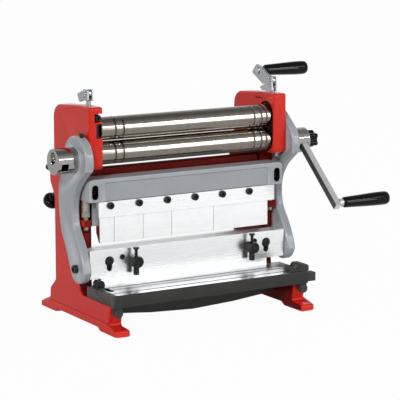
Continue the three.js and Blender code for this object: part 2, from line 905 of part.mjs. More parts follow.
// Fingers: each has open notches where the clamp screws pass
let fingerStart = -brakeWidth / 2;
fingerWidthShares.forEach((share, i) => {
  const left = fingerStart;
  const right = left + brakeWidth * share;
  fingerStart = right;
  let finger = plateX([
    new THREE.Vector2(0, tipZ),
    new THREE.Vector2(fingerTip, tipZ),
    new THREE.Vector2(fingerThickness, tipZ + fingerBevelHeight),
    new THREE.Vector2(fingerThickness, fingerTop),
    new THREE.Vector2(0, fingerTop),
  ], left + fit / 2, right - fit / 2);
  for (let k = 0; k < clampScrewCount; k += 1) {
    const x = clampScrewX(k);
    const notch = clampShankRadius + fit;
    if (x > left && x < right) {
      finger = finger.subtract(box(
        x - notch, x + notch, -overrun, fingerThickness + overrun, clampScrewZ - notch, fingerTop + overrun,
      ));
    }
  }
  addPiece(`brake_finger_${i + 1}`, finger, groundSteel);
});

for (let i = 0; i < clampScrewCount; i += 1) {
  const screwFront = -2 * fit - clampBarThickness - clampHeadHeight;
  addPiece(`clamp_screw_${i + 1}`, turned([
    [clampHeadRadius, 0],
    [clampHeadRadius, clampHeadHeight],
    [clampShankRadius, clampHeadHeight],
    [clampShankRadius, clampHeadHeight + clampBarThickness + fit + webFront + clampShankDepth],
  ], [clampScrewX(i), screwFront, clampScrewZ], [0, 1, 0], smallSides), blackOxide);
}

// Bolts through the lug slots, and jack screws under the lugs
for (const side of sides) {
  const step = -beamFront + beamSlotStep;
  const boltZ = beamTop - beamBoltDrop;
  addPiece(`${sideName[side]}_beam_bolt`, turned([
    [beamBoltHead, 0],
    [beamBoltHead, beamBoltHeadHeight],
    [beamBoltShank, beamBoltHeadHeight],
    [beamBoltShank, beamBoltHeadHeight + fit + columnFront - step + beamBoltDepth],
  ], [side * beamSlotX, step - fit - beamBoltHeadHeight, boltZ], [0, 1, 0], holeSides / 2), blackOxide);

  const ledge = beamBottom - ledgeTop;
  const hexBottom = ledge + jackHexLift;
  const padTop = beamBottom - fit;
  const stem = turned([
    [jackRadius, ledge - ledgeHeight - jackTail],
    [jackRadius, padTop - jackPadHeight],
    [jackPadRadius, padTop - jackPadHeight],
    [jackPadRadius, padTop],
  ], [side * jackX, jackY, 0], [0, 0, 1], holeSides / 2);
  const hex = rod(
    jackHexRadius,
    [side * jackX, jackY, hexBottom], [side * jackX, jackY, hexBottom + jackHexHeight], hexSides,
  );
  addPiece(`${sideName[side]}_jack_screw`, stem.add(hex), bronze);
}

// Rolls: grooves for wire at both ends
function rollProfile(leftJournal, rightJournal, journal, grooved) {
  const profile = [[journal, -leftJournal], [journal, -rollEnd], [rollRadius, -rollEnd]];
  const half = rollGrooveWidth / 2;
  const groove = (middle) => [
    [rollRadius, middle - half],
    [rollRadius - rollGrooveDepth, middle],
    [rollRadius, middle + half],
  ];
  if (grooved) {
    const places = [
      ...rollLeftGrooves.map((distance) => distance - rollEnd),
      ...rollRightGrooves.map((distance) => rollEnd - distance),
    ];
    places.sort((a, b) => a - b).forEach((place) => profile.push(...groove(place)));
  }
  profile.push([rollRadius, rollEnd], [journal, rollEnd], [journal, rightJournal]);
  return profile;
}

const gearInner = frameInner + fit;
const gearOuter = gearInner + gearWidth;
const recessFloorX = frameInner + recessDepth;
const rightBlockOuter = recessFloorX + gearSideSlotDepth - fit;
const leftBlockOuter = frameInner + slotDepth - fit;

addPiece('lower_roll', turned(
  rollProfile(hubInner + lowerJournalReach, hubInner + lowerJournalReach, lowerJournal, true),
  [0, shaftY, shaftZ], [1, 0, 0],
), polishedSteel);
addPiece('upper_roll', turned(
  rollProfile(leftBlockOuter, rightBlockOuter, upperJournal, true),
  [0, shaftY, upperZ], [1, 0, 0],
), polishedSteel);
// The rear roll's journals end inside its blocks, clear of the screws that push the blocks
const rearJournalEnd = leftBlockOuter - rearJournalShort;
addPiece('rear_roll', turned(
  rollProfile(rearJournalEnd, rearJournalEnd, upperJournal, false),
  [0, rearRollY, rearRollZ], [1, 0, 0],
), polishedSteel);

// Gears: slender teeth, so that they stay free of each other when the upper roll is lifted
function gear(z, bore, phase) {
  const points = [];
  for (let k = 0; k < gearTeeth; k += 1) {
    const middle = (2 * Math.PI * (k + phase)) / gearTeeth;
    const rootHalf = gearRootWidth / 2 / gearRoot;
    const tipHalf = gearTipWidth / 2 / gearTip;
    const corners = [[gearRoot, -rootHalf], [gearTip, -tipHalf], [gearTip, tipHalf], [gearRoot, rootHalf]];
    for (const [radius, turn] of corners) {
      const angle = middle + turn;
      points.push(new THREE.Vector2(shaftY + radius * Math.cos(angle), z + radius * Math.sin(angle)));
    }
  }
  const blank = plateX(points, gearInner, gearOuter);
  return blank.subtract(rod(
    bore, [gearInner - overrun, shaftY, z], [gearOuter + overrun, shaftY, z], holeSides,
  ));
}
const upPhase = gearTeeth / 4;
addPiece('lower_gear', gear(shaftZ, lowerJournal + fit, upPhase), brightSteel);
addPiece('upper_gear', gear(upperZ, upperJournal + fit, -upPhase + 1 / 2), brightSteel);

// Bushes of the lower roll
function bush(from, to) {
  const outer = rod(lowerJournal + bushWall + fit, [from, shaftY, shaftZ], [to, shaftY, shaftZ], holeSides);
  const bore = [Math.min(from, to) - overrun, Math.max(from, to) + overrun];
  return outer.subtract(rod(
    lowerJournal + fit, [bore[0], shaftY, shaftZ], [bore[1], shaftY, shaftZ], holeSides,
  ));
}
addPiece('left_roll_bush', bush(-frameInner, -frameOuter), bronze);
addPiece('right_roll_bush', bush(recessFloorX + fit, frameOuter), bronze);

// Sliding blocks of the upper roll and of the rear roll
function upperBlock(from, to) {
  const block = box(
    from, to, shaftY - blockHalf, shaftY + blockHalf, upperZ - blockHalfHeight, upperZ + blockHalfHeight,
  );
  const bore = rod(
    upperJournal + fit,
    [Math.min(from, to) - overrun, shaftY, upperZ], [Math.max(from, to) + overrun, shaftY, upperZ], holeSides,
  );
  return block.subtract(bore);
}
addPiece('left_upper_block', upperBlock(-frameInner - fit, -leftBlockOuter), blackOxide);
addPiece('right_upper_block', upperBlock(recessFloorX + fit, rightBlockOuter), blackOxide);

for (const side of sides) {
  const block = plateX(
    inclineBox(-blockHalf, blockHalf, blockHalf), side * (frameInner + fit), side * leftBlockOuter,
  );
  const bore = rod(
    upperJournal + fit,
    [side * (frameInner - overrun), rearRollY, rearRollZ],
    [side * (frameInner + slotDepth + overrun), rearRollY, rearRollZ], holeSides,
  );
  addPiece(`${sideName[side]}_rear_block`, block.subtract(bore), blackOxide);

  const [y, z] = onIncline(blockHalf + fit, 0);
  const length = rearScrewLength;
  addPiece(`${sideName[side]}_rear_knob`, turned([
    [rearScrewRadius, 0],
    [rearScrewRadius, length],
    [rearKnobRadius * rearKnobNeckShare, length],
    [rearKnobRadius, length + rearKnobWidth * rearKnobRoundShare],
    [rearKnobRadius, length + rearKnobWidth * (1 - rearKnobRoundShare)],
    [rearKnobRadius * rearKnobEndShare, length + rearKnobWidth],
  ], [side * rearScrewX, y, z], [0, Math.cos(rearSlope), -Math.sin(rearSlope)], holeSides), blackPlastic);
}

// Top screws with forked heads, levers in the forks
const forkBottom = headTop + forkBase;
const leverPinZ = forkBottom + leverPinRise;
const screwTip = upperZ + blockHalfHeight + fit;
for (const side of sides) {
  const x = side * topScrewX;
  const body = turned([
    [topScrewRadius, screwTip],
    [topScrewRadius, forkBottom],
    [forkRadius, forkBottom],
    [forkRadius, forkBottom + forkHeight],
  ], [x, shaftY, 0], [0, 0, 1], holeSides);
  const slot = box(
    x - forkSlot / 2, x + forkSlot / 2,
    shaftY - forkRadius - overrun, shaftY + forkRadius + overrun,
    forkBottom + forkFloor, forkBottom + forkHeight + overrun,
  );
  const pinHole = rod(
    leverPinRadius + fit,
    [x - forkRadius - overrun, shaftY, leverPinZ], [x + forkRadius + overrun, shaftY, leverPinZ],
  );
  addPiece(`${sideName[side]}_top_screw`, body.subtract(slot).subtract(pinHole), brightSteel);
}

// A lever: a flat plate, round at the pin that it turns on and square at its far end
function lever(side, angle, length, low, high) {
  const x = side * topScrewX;
  const points = [];
  const count = holeSides / 2;
  for (let k = 0; k <= count; k += 1) {
    const turn = Math.PI / 2 + (Math.PI * k) / count;
    points.push(new THREE.Vector2(leverRoot * Math.cos(turn), leverRoot * Math.sin(turn)));
  }
  points.push(new THREE.Vector2(length, -low), new THREE.Vector2(length, high));
  const place = new THREE.Vector2(shaftY, leverPinZ);
  points.forEach((point) => point.rotateAround(new THREE.Vector2(), angle).add(place));
  const bar = plateX(points, x - leverThickness / 2, x + leverThickness / 2);
  const pin = rod(
    leverPinRadius, [x - forkRadius, shaftY, leverPinZ], [x + forkRadius, shaftY, leverPinZ],
  );
  return bar.add(pin);
}

// A grip turned from its shares, bored for the stud it spins on
function grip(from, length) {
  const profile = gripProfileShares.map(([place, share]) => [gripRadius * share, length * place]);
  const [x, y, z] = from;
  const bore = rod(
    gripStudRadius + gripStudGap, [x - overrun, y, z], [x + (length * 2) / 3, y, z], smallSides,
  );
  return turned(profile, from, [1, 0, 0], holeSides).subtract(bore);
}

const leftLever = lever(-1, leftLeverAngle, leftLeverLength, leftLeverLow, leftLeverHigh);
addPiece('left_top_lever', leftLever, brightSteel);
const rightLever = lever(1, rightLeverAngle, rightLeverLength, rightLeverLow, rightLeverHigh);
const leverFace = topScrewX + leverThickness / 2;
const topGripX = leverFace + topStudLength + fit;
const topGripY = shaftY + topGripReach * Math.cos(rightLeverAngle);
const topGripZ = leverPinZ + topGripReach * Math.sin(rightLeverAngle);
const topStud = rod(
  topStudRadius, [leverFace - fit, topGripY, topGripZ], [topGripX - fit, topGripY, topGripZ],
);
const topSpindle = rod(
  gripStudRadius,
  [leverFace - fit, topGripY, topGripZ], [topGripX + topGripLength / 2, topGripY, topGripZ],
);
addPiece('right_top_lever', rightLever.add(topStud).add(topSpindle), brightSteel);
addPiece('top_grip', grip([topGripX, topGripY, topGripZ], topGripLength), blackPlastic);

// Crank: a square bar through the hub, with a stud for the grip at its far end
const crankAlong = [-Math.cos(crankSlope), -Math.sin(crankSlope)];
const crankAcross = [Math.sin(crankSlope), -Math.cos(crankSlope)];
function onCrank(along, across) {
  return [
    shaftY + along * crankAlong[0] + across * crankAcross[0],
    shaftZ + along * crankAlong[1] + across * crankAcross[1],
  ];
}
function crankBarOutline(from, to, half) {
  return [onCrank(from, -half), onCrank(to, -half), onCrank(to, half), onCrank(from, half)].map(
    ([y, z]) => new THREE.Vector2(y, z),
  );
}
const [studY, studZ] = onCrank(crankThrow, 0);
const crankFace = crankX + crankSquare / 2;
const crankGripX = crankFace + crankCollarLength + fit;
const crankBody = plateX(
  crankBarOutline(-crankStart, crankThrow + crankOverhang, crankSquare / 2),
  crankX - crankSquare / 2, crankFace,
);
const crankCollar = rod(
  crankCollarRadius, [crankFace - fit, studY, studZ], [crankGripX - fit, studY, studZ], holeSides,
);
const crankSpindle = rod(
  gripStudRadius, [crankFace - fit, studY, studZ], [crankGripX + crankGripLength / 2, studY, studZ],
);
addPiece('crank_bar', crankBody.add(crankCollar).add(crankSpindle), blackOxide);
addPiece('crank_grip', grip([crankGripX, studY, studZ], crankGripLength), blackPlastic);

// Eccentric hubs: bored off centre for the journal, cut through square for the crank
function eccentricHub(side) {
  const blank = rod(hubRadius, [side * hubInner, shaftY, hubZ], [side * hubOuter, shaftY, hubZ], rollSides);
  const bore = rod(
    lowerJournal + fit,
    [side * (hubInner - overrun), shaftY, shaftZ],
    [side * (hubInner + lowerJournalReach + fit), shaftY, shaftZ], holeSides,
  );
  const square = plateX(
    crankBarOutline(-2 * hubRadius, 2 * hubRadius, crankSquare / 2 + fit),
    side * (crankX - crankSquare / 2 - fit), side * (crankX + crankSquare / 2 + fit),
  );
  const clamp = rod(
    starStudRadius + fit,
    [side * crankX, shaftY, hubZ], [side * (hubOuter + overrun), shaftY, hubZ],
  );
  return blank.subtract(bore).subtract(square).subtract(clamp);
}
for (const side of sides) {
  addPiece(`${sideName[side]}_eccentric_hub`, eccentricHub(side), chrome);
}

// Star knob that clamps the crank in its hub
const starPoints = [];
const starCount = starLobes * starStepsPerLobe;
for (let k = 0; k < starCount; k += 1) {
  const angle = (2 * Math.PI * k) / starCount;
  const radius = starRadius * (1 - starLobeShare + starLobeShare * Math.cos(starLobes * angle));
  starPoints.push(new THREE.Vector2(shaftY + radius * Math.cos(angle), hubZ + radius * Math.sin(angle)));
}
const starInner = hubOuter + starNeck;
const starHead = plateX(starPoints, starInner, starInner + starWidth, starNeck / 2);
const starStud = rod(
  starStudRadius,
  [crankFace + fit, shaftY, hubZ], [starInner + starWidth / 2, shaftY, hubZ],
);
addPiece('star_knob', starHead.add(starStud), blackPlastic);

// Connecting arms: a ring round the hub, a bowed shank and a round foot on the ram's pin.
// The curves are shares of the height between the ring's centre and the pin, and the blunt
// peak over the ring of the right arm is written in shares of the ring's radius.
const armFrontShares = [
  [-0.166, 0.9], [-0.03, 0.795], [0.06, 0.68], [0.092, 0.57], [0.09, 0.46], [0.06, 0.36], [-0.02, 0.25],
  [-0.09, 0.13],
];
const armRearShares = [
  [0.236, 0.17], [0.31, 0.29], [0.352, 0.45], [0.365, 0.6], [0.355, 0.74], [0.3, 0.88],
];
const armPeakShares = [[0.37, 1.32], [0.21, 1.4], [0.07, 1.34]];
const armPeakStart = THREE.MathUtils.degToRad(54);
const armPeakEnd = THREE.MathUtils.degToRad(131);
const armHeight = hubZ - armPinZ;
function armOutline(peaked) {
  const toPoint = ([y, z]) => new THREE.Vector2(armPinY + y * armHeight, armPinZ + z * armHeight);
  const ringY = shaftY - armRingSet;
  const arc = (y, z, radius, from, to, count) => Array.from({ length: count + 1 }, (_, k) => {
    const angle = from + ((to - from) * k) / count;
    return new THREE.Vector2(y + radius * Math.cos(angle), z + radius * Math.sin(angle));
  });
  const ringArc = (from, to, count) => arc(ringY, hubZ, armRingRadius, from, to, count);
  const peak = armPeakShares.map(
    ([y, z]) => new THREE.Vector2(ringY + y * armRingRadius, hubZ + z * armRingRadius),
  );
  const peakedRing = [
    ...ringArc(armRingStart, armPeakStart, arcSteps),
    ...peak,
    ...ringArc(armPeakEnd, armRingEnd, arcSteps * 2),
  ];
  const ring = peaked ? peakedRing : ringArc(armRingStart, armRingEnd, rollSides / 2);
  const foot = arc(armPinY, armPinZ, armFootRadius, armFootStart, armFootEnd, holeSides / 2);
  return [...ring, ...armFrontShares.map(toPoint), ...foot, ...armRearShares.map(toPoint)];
}
for (const side of sides) {
  const pinHole = rod(
    armPinRadius + fit,
    [side * (armInner - overrun), armPinY, armPinZ], [side * (armOuter + overrun), armPinY, armPinZ],
  );
  const ringBore = rod(
    hubRadius + fit,
    [side * (armInner - overrun), shaftY, hubZ], [side * (armOuter + overrun), shaftY, hubZ], rollSides,
  );
  const arm = plateX(armOutline(side > 0), side * armInner, side * armOuter, armEdge);
  addPiece(`${sideName[side]}_arm`, arm.subtract(pinHole).subtract(ringBore), greyPaint);

  addPiece(`${sideName[side]}_arm_pin`, turned([
    [armPinRadius, 0],
    [armPinRadius, armThickness + fit],
    [armPinHead, armThickness + fit],
    [armPinHead, armThickness + fit + armPinHeadHeight],
  ], [side * armInner, armPinY, armPinZ], [side, 0, 0], smallSides), blackOxide);
}

// The natural origin: the middle of the machine's space, on the floor
const space = new THREE.Box3().setFromObject(machine);
machine.position.set(-(space.min.x + space.max.x) / 2, -(space.min.y + space.max.y) / 2, -space.min.z);
machine.updateMatrixWorld(true);

export default machine;
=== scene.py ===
import json
import math

import bmesh
import bpy
from mathutils import Matrix, Vector

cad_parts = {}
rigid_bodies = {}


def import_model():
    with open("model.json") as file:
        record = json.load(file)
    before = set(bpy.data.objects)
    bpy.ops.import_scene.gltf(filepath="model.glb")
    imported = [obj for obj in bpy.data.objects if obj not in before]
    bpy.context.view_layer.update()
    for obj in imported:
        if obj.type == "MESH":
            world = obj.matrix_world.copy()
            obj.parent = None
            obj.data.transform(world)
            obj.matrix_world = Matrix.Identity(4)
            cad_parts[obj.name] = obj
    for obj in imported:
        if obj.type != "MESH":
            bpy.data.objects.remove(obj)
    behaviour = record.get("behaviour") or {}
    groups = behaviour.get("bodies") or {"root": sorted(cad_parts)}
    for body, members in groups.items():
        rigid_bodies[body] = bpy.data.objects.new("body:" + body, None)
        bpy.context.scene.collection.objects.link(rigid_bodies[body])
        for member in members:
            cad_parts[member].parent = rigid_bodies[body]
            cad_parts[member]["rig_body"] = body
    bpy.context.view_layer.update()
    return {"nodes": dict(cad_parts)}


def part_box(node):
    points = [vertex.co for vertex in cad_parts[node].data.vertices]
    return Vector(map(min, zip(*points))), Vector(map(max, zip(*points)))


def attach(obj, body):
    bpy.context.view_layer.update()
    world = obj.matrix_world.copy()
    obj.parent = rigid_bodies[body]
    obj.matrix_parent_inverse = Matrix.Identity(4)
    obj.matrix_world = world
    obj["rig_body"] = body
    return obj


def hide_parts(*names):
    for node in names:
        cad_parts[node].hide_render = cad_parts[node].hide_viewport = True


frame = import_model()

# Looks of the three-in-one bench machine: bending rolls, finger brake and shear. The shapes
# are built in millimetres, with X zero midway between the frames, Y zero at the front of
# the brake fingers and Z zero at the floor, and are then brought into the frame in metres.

MM = 0.001
left_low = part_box("left_side_frame")[0]
right_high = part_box("right_side_frame")[1]
finger_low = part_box("brake_finger_1")[0]
ORIGIN = Vector(((left_low.x + right_high.x) / 2, finger_low.y, left_low.z))
TO_FRAME = Matrix.Translation(ORIGIN) @ Matrix.Scale(MM, 4)
SIDES = {"left": -1, "right": 1}
RIGHT, LEFT, FORWARD, UP = (1, 0, 0), (-1, 0, 0), (0, -1, 0), (0, 0, 1)

# The clearance between pieces, and how far a cutting tool runs past the face it cuts
FIT = 0.3
OVER = 2.0


def span(node):
    """Lowest and highest corner of a CAD node, in millimetres of the machine."""
    low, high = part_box(node)
    return (low - ORIGIN) / MM, (high - ORIGIN) / MM


def middle(node):
    low, high = span(node)
    return (low + high) / 2


# Materials

# The noise's roughness and ranges, and the second tones' shares; the edge tone lightens sharp edges,
# partly as wear and partly as painted highlight
NOISE_ROUGHNESS = 0.55
fine_share, wear_and_sheen_share = 0.5, 0.6
WEAR_AND_SHEEN_START, WEAR_AND_SHEEN_END = 0.52, 0.60
ROUGH_START, ROUGH_END = 0.12, 0.4


def linear(code):
    """A colour as written in a picture, as the shader's numbers."""
    parts = [int(code[i:i + 2], 16) / 255 for i in (0, 2, 4)]
    return tuple(c / 12.92 if c <= 0.04045 else ((c + 0.055) / 1.055) ** 2.4 for c in parts) + (1,)


def add(tree, kind, inputs=(), **settings):
    made = tree.nodes.new("ShaderNode" + kind)
    for key, value in settings.items():
        setattr(made, key, value)
    for key, value in dict(inputs).items():
        if isinstance(value, bpy.types.NodeSocket):
            tree.links.new(value, made.inputs[key])
        else:
            made.inputs[key].default_value = value
    return made


def noise(tree, grain, detail=4.0):
    """Noise whose grain is counted per metre, along each axis or alike on all of them."""
    place = add(tree, "TexCoord").outputs["Object"]
    scale = grain if isinstance(grain, tuple) else (grain, grain, grain)
    scaled = add(tree, "Mapping", {"Vector": place, "Scale": scale}).outputs["Vector"]
    made = add(tree, "TexNoise", {
        "Vector": scaled, "Scale": 1.0, "Detail": detail, "Roughness": NOISE_ROUGHNESS,
    })
    return made.outputs["Fac"]


def between(tree, factor, low, high, start=0.3, end=0.7):
    """The factor's stretch from start to end, spread from low to high."""
    return add(tree, "MapRange", {
        "Value": factor, "From Min": start, "From Max": end, "To Min": low, "To Max": high,
    }).outputs["Result"]


def mixed(tree, factor, first, second):
    """Two colours mixed; the numbers are the colour sockets of the node, which share names."""
    made = add(tree, "Mix", data_type="RGBA")
    for index, value in ((0, factor), (6, first), (7, second)):
        if isinstance(value, bpy.types.NodeSocket):
            tree.links.new(value, made.inputs[index])
        else:
            made.inputs[index].default_value = value
    return made.outputs[2]


def surface(name, tones, rough, grain, metallic=0.0, fine=900, bump=0.00001,
            swell=0.0, swell_grain=70, wear_and_sheen=None, level=0.5):
    """A procedural finish; bump and swell are the heights of its fine grain and slow waves. Its edge tone
    lightens sharp edges: partly wear, partly painted highlight.
    """
    material = bpy.data.materials.new(name)
    material.use_nodes = True
    tree = material.node_tree
    body = tree.nodes["Principled BSDF"]
    coarse = noise(tree, grain)
    small = noise(tree, fine, detail=2.0)
    color = mixed(tree, between(tree, coarse, 0.0, 1.0), linear(tones[0]), linear(tones[1]))
    color = mixed(tree, between(tree, small, 0.0, fine_share), color, linear(tones[1]))
    # Lighter tone on sharp edges, found by pointiness: partly wear, partly painted highlight
    if wear_and_sheen:
        edge = add(tree, "NewGeometry").outputs["Pointiness"]
        amount = between(tree, edge, 0.0, wear_and_sheen_share, WEAR_AND_SHEEN_START, WEAR_AND_SHEEN_END)
        color = mixed(tree, amount, color, linear(wear_and_sheen))
    tree.links.new(color, body.inputs["Base Color"])
    both = add(tree, "Math", {0: coarse, 1: small}, operation="MULTIPLY").outputs[0]
    roughness = between(tree, both, rough[0], rough[1], ROUGH_START, ROUGH_END)
    tree.links.new(roughness, body.inputs["Roughness"])
    normal = add(tree, "Bump", {"Height": small, "Distance": bump}).outputs["Normal"]
    if swell:
        rolling = noise(tree, swell_grain, detail=2.0)
        normal = add(tree, "Bump", {
            "Height": rolling, "Distance": swell, "Normal": normal,
        }).outputs["Normal"]
    tree.links.new(normal, body.inputs["Normal"])
    body.inputs["Metallic"].default_value = metallic
    body.inputs["Specular IOR Level"].default_value = level
    return material


RED = surface("red_enamel", ("cb2014", "c01a0f"), (0.12, 0.22), level=0.22,
              grain=18, swell=0.00025, wear_and_sheen="e2483a")
# A darker copy of the red enamel: painted shade, for faces that lie in shade
PAINTED_SHADE_RED = surface("painted_shade_red_enamel", ("721410", "620f0b"), (0.16, 0.3), level=0.04,
                   grain=18, swell=0.0003, wear_and_sheen="8a221b")
# The grey's near-white edge tone is a painted highlight along the edges of the beam and arms
GREY = surface("grey_enamel", ("9a9ea3", "91959a"), (0.16, 0.28), level=0.4,
               grain=22, swell=0.0003, swell_grain=80, wear_and_sheen="eef0f1")
CAST = surface("black_casting", ("252524", "30302e"), (0.42, 0.62), level=0.22,
               grain=60, fine=1200, bump=0.00006, swell=0.0002, swell_grain=250, wear_and_sheen="5a5956")
GROUND = surface("ground_steel", ("f0f1f2", "e6e8e9"), (0.24, 0.34), metallic=1.0,
                 grain=(5, 60, 60), fine=(12, 1600, 1600), bump=0.000004, wear_and_sheen="fafafa")
BED_TOP = surface("ground_bed", ("8a8c8e", "76787a"), (0.24, 0.34), metallic=1.0,
                  grain=(4, 45, 45), fine=(10, 1100, 1100), bump=0.000006, wear_and_sheen="b4b6b7")
POLISHED = surface("polished_steel", ("979088", "89827a"), (0.08, 0.16), metallic=1.0,
                   grain=(120, 4, 4), fine=(2600, 6, 6), bump=0.0000008)
BRIGHT = surface("bright_zinc", ("b9bdc0", "a2a6aa"), (0.24, 0.4), metallic=1.0,
                 grain=70, wear_and_sheen="e4e6e7")
CHROME = surface("chrome_plate", ("b2afac", "a29f9c"), (0.03, 0.07), metallic=1.0,
                 grain=50, fine=(1500, 12, 12), bump=0.000002)
OXIDE = surface("black_oxide", ("111112", "1c1c1d"), (0.3, 0.5), level=0.2,
                grain=150, fine=1500, bump=0.00002, wear_and_sheen="3a3a3b")
# Two tones for one crank bar, dark for its shaded faces and light for its lit ones: painted light and
# shade
PAINTED_SHADE_GUNMETAL = surface("painted_shade_gunmetal", ("3c3c3d", "4a4a4b"), (0.3, 0.45), metallic=0.5,
                   grain=(12, 90, 90), wear_and_sheen="77787a")
PAINTED_HIGHLIGHT_STEEL = surface("painted_highlight_steel", ("cfd0d1", "b4b6b8"), (0.32, 0.48), metallic=0.7,
                grain=(90, 30, 30), fine=(1400, 300, 300), bump=0.000008, wear_and_sheen="eeeeee")
GEAR = surface("dark_gear_steel", ("3a3632", "2a2724"), (0.3, 0.5), metallic=0.8,
               grain=90, wear_and_sheen="6a645c")
BRONZE = surface("bronze_turned", ("9a7446", "7f5d36"), (0.3, 0.5), metallic=0.9,
                 grain=90, wear_and_sheen="c29a62")
NUT = surface("dull_jack_nut", ("b3aaa0", "8d857b"), (0.35, 0.55), metallic=0.5,
              grain=160, bump=0.00002, wear_and_sheen="cfc8be")
BRASS = surface("brass_fitting", ("b88f45", "94702f"), (0.22, 0.36), metallic=0.9,
                grain=200, fine=1500)
BAKELITE = surface("black_bakelite", ("040405", "08080a"), (0.03, 0.05), level=0.18,
                   grain=40, fine=700, bump=0.0)
# Near-black for the insides of slots, lug recesses and gaps: painted shadow
PAINTED_SHADOW = surface("painted_shadow_black", ("040404", "080808"), (0.6, 0.8), level=0.2,
                 grain=300, fine=400, bump=0.00003)


# Shapes

ORDER = {
    "x": lambda depth, u, v: (depth, u, v),
    "y": lambda depth, u, v: (u, depth, v),
    "z": lambda depth, u, v: (u, v, depth),
}


def from_bmesh(name, shape):
    bmesh.ops.recalc_face_normals(shape, faces=shape.faces)
    mesh = bpy.data.meshes.new(name)
    shape.to_mesh(mesh)
    shape.free()
    made = bpy.data.objects.new(name, mesh)
    bpy.context.scene.collection.objects.link(made)
    return made


def settle(obj):
    """Applies the modifiers of an object."""
    graph = bpy.context.evaluated_depsgraph_get()
    old = obj.data
    mesh = bpy.data.meshes.new_from_object(obj.evaluated_get(graph))
    obj.modifiers.clear()
    obj.data = mesh
    bpy.data.meshes.remove(old)


def rounded(corners, steps=8):
    """Corners given as (u, v) or (u, v, radius); a radius rounds its corner."""
    points = []
    for i, corner in enumerate(corners):
        here = Vector(corner[:2])
        radius = corner[2] if len(corner) > 2 else 0
        if not radius:
            points.append(here)
            continue
        before = (Vector(corners[i - 1][:2]) - here).normalized()
        after = (Vector(corners[(i + 1) % len(corners)][:2]) - here).normalized()
        half = before.angle(after) / 2
        centre = here + (before + after).normalized() * radius / math.sin(half)
        start = here + before * radius / math.tan(half) - centre
        end = here + after * radius / math.tan(half) - centre
        sweep = math.atan2(start.cross(end), start.dot(end))
        for k in range(steps + 1):
            points.append(Matrix.Rotation(sweep * k / steps, 2) @ start + centre)
    return points


def circle(u, v, radius, sides=48, first=0.0, last=2 * math.pi):
    whole = math.isclose(last - first, 2 * math.pi)
    count = sides if whole else sides + 1
    turns = [first + (last - first) * k / sides for k in range(count)]
    return [Vector((u + radius * math.cos(t), v + radius * math.sin(t))) for t in turns]


def stadium(u, low, high, radius, sides=24):
    """An upright slot; low and high are the centres of its round ends."""
    top = circle(u, high, radius, sides, 0, math.pi)
    return top + circle(u, low, radius, sides, math.pi, 2 * math.pi)


def area(points):
    return sum(points[i - 1].cross(points[i]) for i in range(len(points))) / 2


def inset(points, distance):
    """The outline moved inwards, for an outline that runs counter-clockwise."""
    moved = []
    for i, point in enumerate(points):
        before = (point - points[i - 1]).normalized()
        after = (points[(i + 1) % len(points)] - point).normalized()
        side = Vector((-before.y - after.y, before.x + after.x)).normalized()
        slant = max(0.3, side.dot(Vector((-before.y, before.x))))
        moved.append(point + side * distance / slant)
    return moved


def slab(name, axis, points, start, end, edge=0.0, steps=4):
    """A plate of any outline between two depths, with its edges rounded on both faces."""
    points = [Vector(p) for p in points]
    if area(points) < 0:
        points.reverse()
    low, high = min(start, end), max(start, end)
    quarter = [math.pi / 2 * k / steps for k in range(steps + 1)] if edge else [0.0]
    levels = [(low + edge * (1 - math.sin(t)), edge * (1 - math.cos(t))) for t in reversed(quarter)]
    levels += [(high - edge * (1 - math.sin(t)), edge * (1 - math.cos(t))) for t in quarter]
    shape = bmesh.new()
    rings = []
    for depth, distance in levels:
        ring = inset(points, distance) if distance else points
        rings.append([shape.verts.new(ORDER[axis](depth, u, v)) for u, v in ring])
    shape.faces.new(rings[0])
    shape.faces.new(rings[-1])
    for lower, upper in zip(rings, rings[1:]):
        for i in range(len(points)):
            shape.faces.new((lower[i - 1], lower[i], upper[i], upper[i - 1]))
    return from_bmesh(name, shape)


def block(name, first, second):
    """A box between two opposite corners."""
    x0, x1 = sorted((first[0], second[0]))
    y0, y1 = sorted((first[1], second[1]))
    return slab(name, "z", [(x0, y0), (x1, y0), (x1, y1), (x0, y1)], first[2], second[2])


def turned(name, profile, start, direction, sides=64):
    """A turned piece: (radius, distance) pairs along an axis that starts at a point."""
    turn = Vector((0, 0, 1)).rotation_difference(Vector(direction)).to_matrix()
    start = Vector(start)
    shape = bmesh.new()
    rings = []
    for radius, distance in profile:
        if radius == 0:
            rings.append([shape.verts.new(start + turn @ Vector((0, 0, distance)))])
            continue
        around = circle(0, 0, radius, sides)
        rings.append([shape.verts.new(start + turn @ Vector((u, v, distance))) for u, v in around])
    for ring in (rings[0], rings[-1]):
        if len(ring) > 1:
            shape.faces.new(ring)
    for lower, upper in zip(rings, rings[1:]):
        for i in range(sides):
            if len(lower) == 1:
                corners = [lower[0], upper[i], upper[i - 1]]
            elif len(upper) == 1:
                corners = [lower[i - 1], lower[i], upper[0]]
            else:
                corners = [lower[i - 1], lower[i], upper[i], upper[i - 1]]
            shape.faces.new(corners)
    return from_bmesh(name, shape)


def rod(name, radius, start, end, sides=48):
    along = Vector(end) - Vector(start)
    return turned(name, [(radius, 0), (radius, along.length)], start, along, sides)


def drum(radius, start, end, chamfer):
    """The profile of a turned length with both its edges broken."""
    return [(radius - chamfer, start), (radius, start + chamfer),
            (radius, end - chamfer), (radius - chamfer, end)]


def wavy(u, v, count, radius_at):
    """A closed outline round a centre; its radius comes from the point's number and angle."""
    turns = [2 * math.pi * k / count for k in range(count)]
    return [(u + radius_at(k, turn) * math.cos(turn), v + radius_at(k, turn) * math.sin(turn))
            for k, turn in enumerate(turns)]


